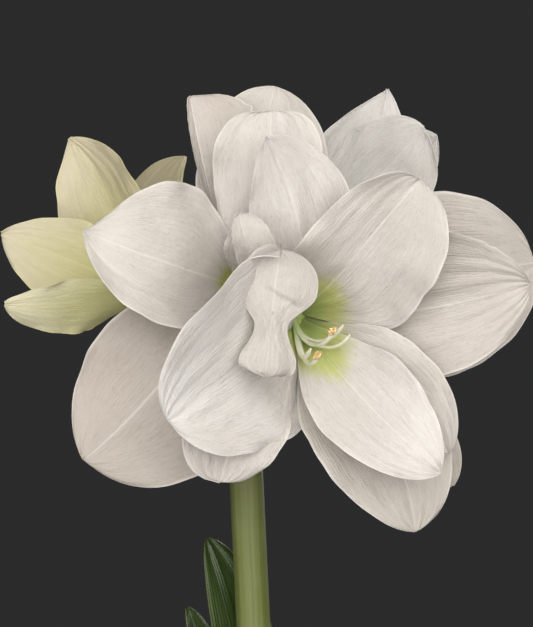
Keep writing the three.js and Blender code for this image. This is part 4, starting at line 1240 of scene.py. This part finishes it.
# The pieces
WHITE = tepal_look(
    "white_tepal", pale=rgb(0.87, 0.855, 0.83), shade=rgb(0.72, 0.685, 0.645), base=rgb(0.72, 0.79, 0.23),
    throat=rgb(0.64, 0.78, 0.27), edge=rgb(0.92, 0.9, 0.86), reach=(2.9, 4.6, 1.3),
)
LIME = tepal_look(
    "lime_tepal", pale=rgb(0.9, 0.87, 0.69), shade=rgb(0.85, 0.82, 0.58), base=rgb(0.79, 0.78, 0.36),
    throat=rgb(0.5, 0.57, 0.18), edge=rgb(0.8, 0.78, 0.42), reach=(3.0, 10.5, 0.4),
)
SCAPE = stalk_look("scape", rgb(0.145, 0.168, 0.047), rgb(0.118, 0.14, 0.035), rgb(0.175, 0.195, 0.072), 0.5)
OVARY = stalk_look("ovary", rgb(0.26, 0.33, 0.1), rgb(0.18, 0.25, 0.06), rgb(0.34, 0.4, 0.18), 0.45)
LEAF = leaf_look("leaf", rgb(0.019, 0.038, 0.005), rgb(0.042, 0.073, 0.013), rgb(0.16, 0.21, 0.06))
BULB = bulb_look()
SOIL = soil_look()
CLAY = clay_look()
FILAMENT = filament_look()
ANTHER = anther_look()

pot = make_piece("pot_shell", pot_parts(), CLAY, ["pot"], sharp=math.radians(35))
cut_drains(pot)
make_piece("soil_bed", soil_parts(), SOIL, ["soil"], sharp=math.radians(70))
make_piece("bulb_skins", bulb_parts(), BULB, ["bulb"], sharp=math.radians(60))
make_piece("scape_stem", scape_parts(), SCAPE, ["scape"])
for order, (name, leaf) in enumerate(LEAVES.items()):
    parts = [blade_solid(leaf_blade(leaf, 60 + order), *LEAF_GRID, {"tone": order * 3.7})]
    make_piece("leaf_blade_" + name, parts, LEAF, ["leaf_" + name])
for order, (name, bloom) in enumerate(BLOOMS.items()):
    make_piece("flower_stalk_" + name, pedicel_parts(bloom), OVARY, ["pedicel_" + name])
    look, slot = (LIME, "lime_tepal") if name == "opening" else (WHITE, "white_tepal")
    make_piece("flower_" + name, bloom_parts(bloom, 100 + 500 * order), look, ["bloom_" + name])
make_piece("filaments", filament_parts(BLOOMS["right"]), FILAMENT, ["stamens"])
make_piece("anthers", anther_parts(BLOOMS["right"]), ANTHER)


# Studio
def add_floor():
    """A round pale surface just under the pot."""
    angles = np.arange(FLOOR_SIDES) * TURN / FLOOR_SIDES
    ring = [FLOOR_RADIUS * np.cos(angles), FLOOR_RADIUS * np.sin(angles), np.full(FLOOR_SIDES, -GAP)]
    mesh = new_mesh("studio_floor", np.stack(ring, -1), [np.arange(FLOOR_SIDES)[None, :]])
    mesh.materials.append(floor_look())
    new_object("studio_floor", mesh)


def add_lights():
    """Large soft lamps and a dark plain surround."""
    for name, light in LIGHTS.items():
        data = bpy.data.lights.new(name, "AREA")
        data.size = light["size"]
        data.energy = light["watts"]
        data.color = light["colour"]
        lamp = new_object(name, data)
        lamp.location = light["place"]
        ray = Vector(LIGHTS_AIM) - Vector(light["place"])
        lamp.rotation_euler = ray.to_track_quat("-Z", "Y").to_euler()
    world = bpy.data.worlds.new("studio")
    world.use_nodes = True
    world.node_tree.nodes["Background"].inputs["Color"].default_value = (*STUDIO_GREY, 1)
    bpy.context.scene.world = world
    bpy.context.scene.view_settings.view_transform = "Standard"


def add_camera():
    """A level camera, straight in front of the plant."""
    data = bpy.data.cameras.new("camera")
    data.lens = CAMERA_LENS
    camera = new_object("camera", data)
    camera.location = CAMERA_PLACE
    camera.rotation_euler = (math.radians(90), 0, 0)
    bpy.context.scene.camera = camera


add_floor()
add_lights()
add_camera()
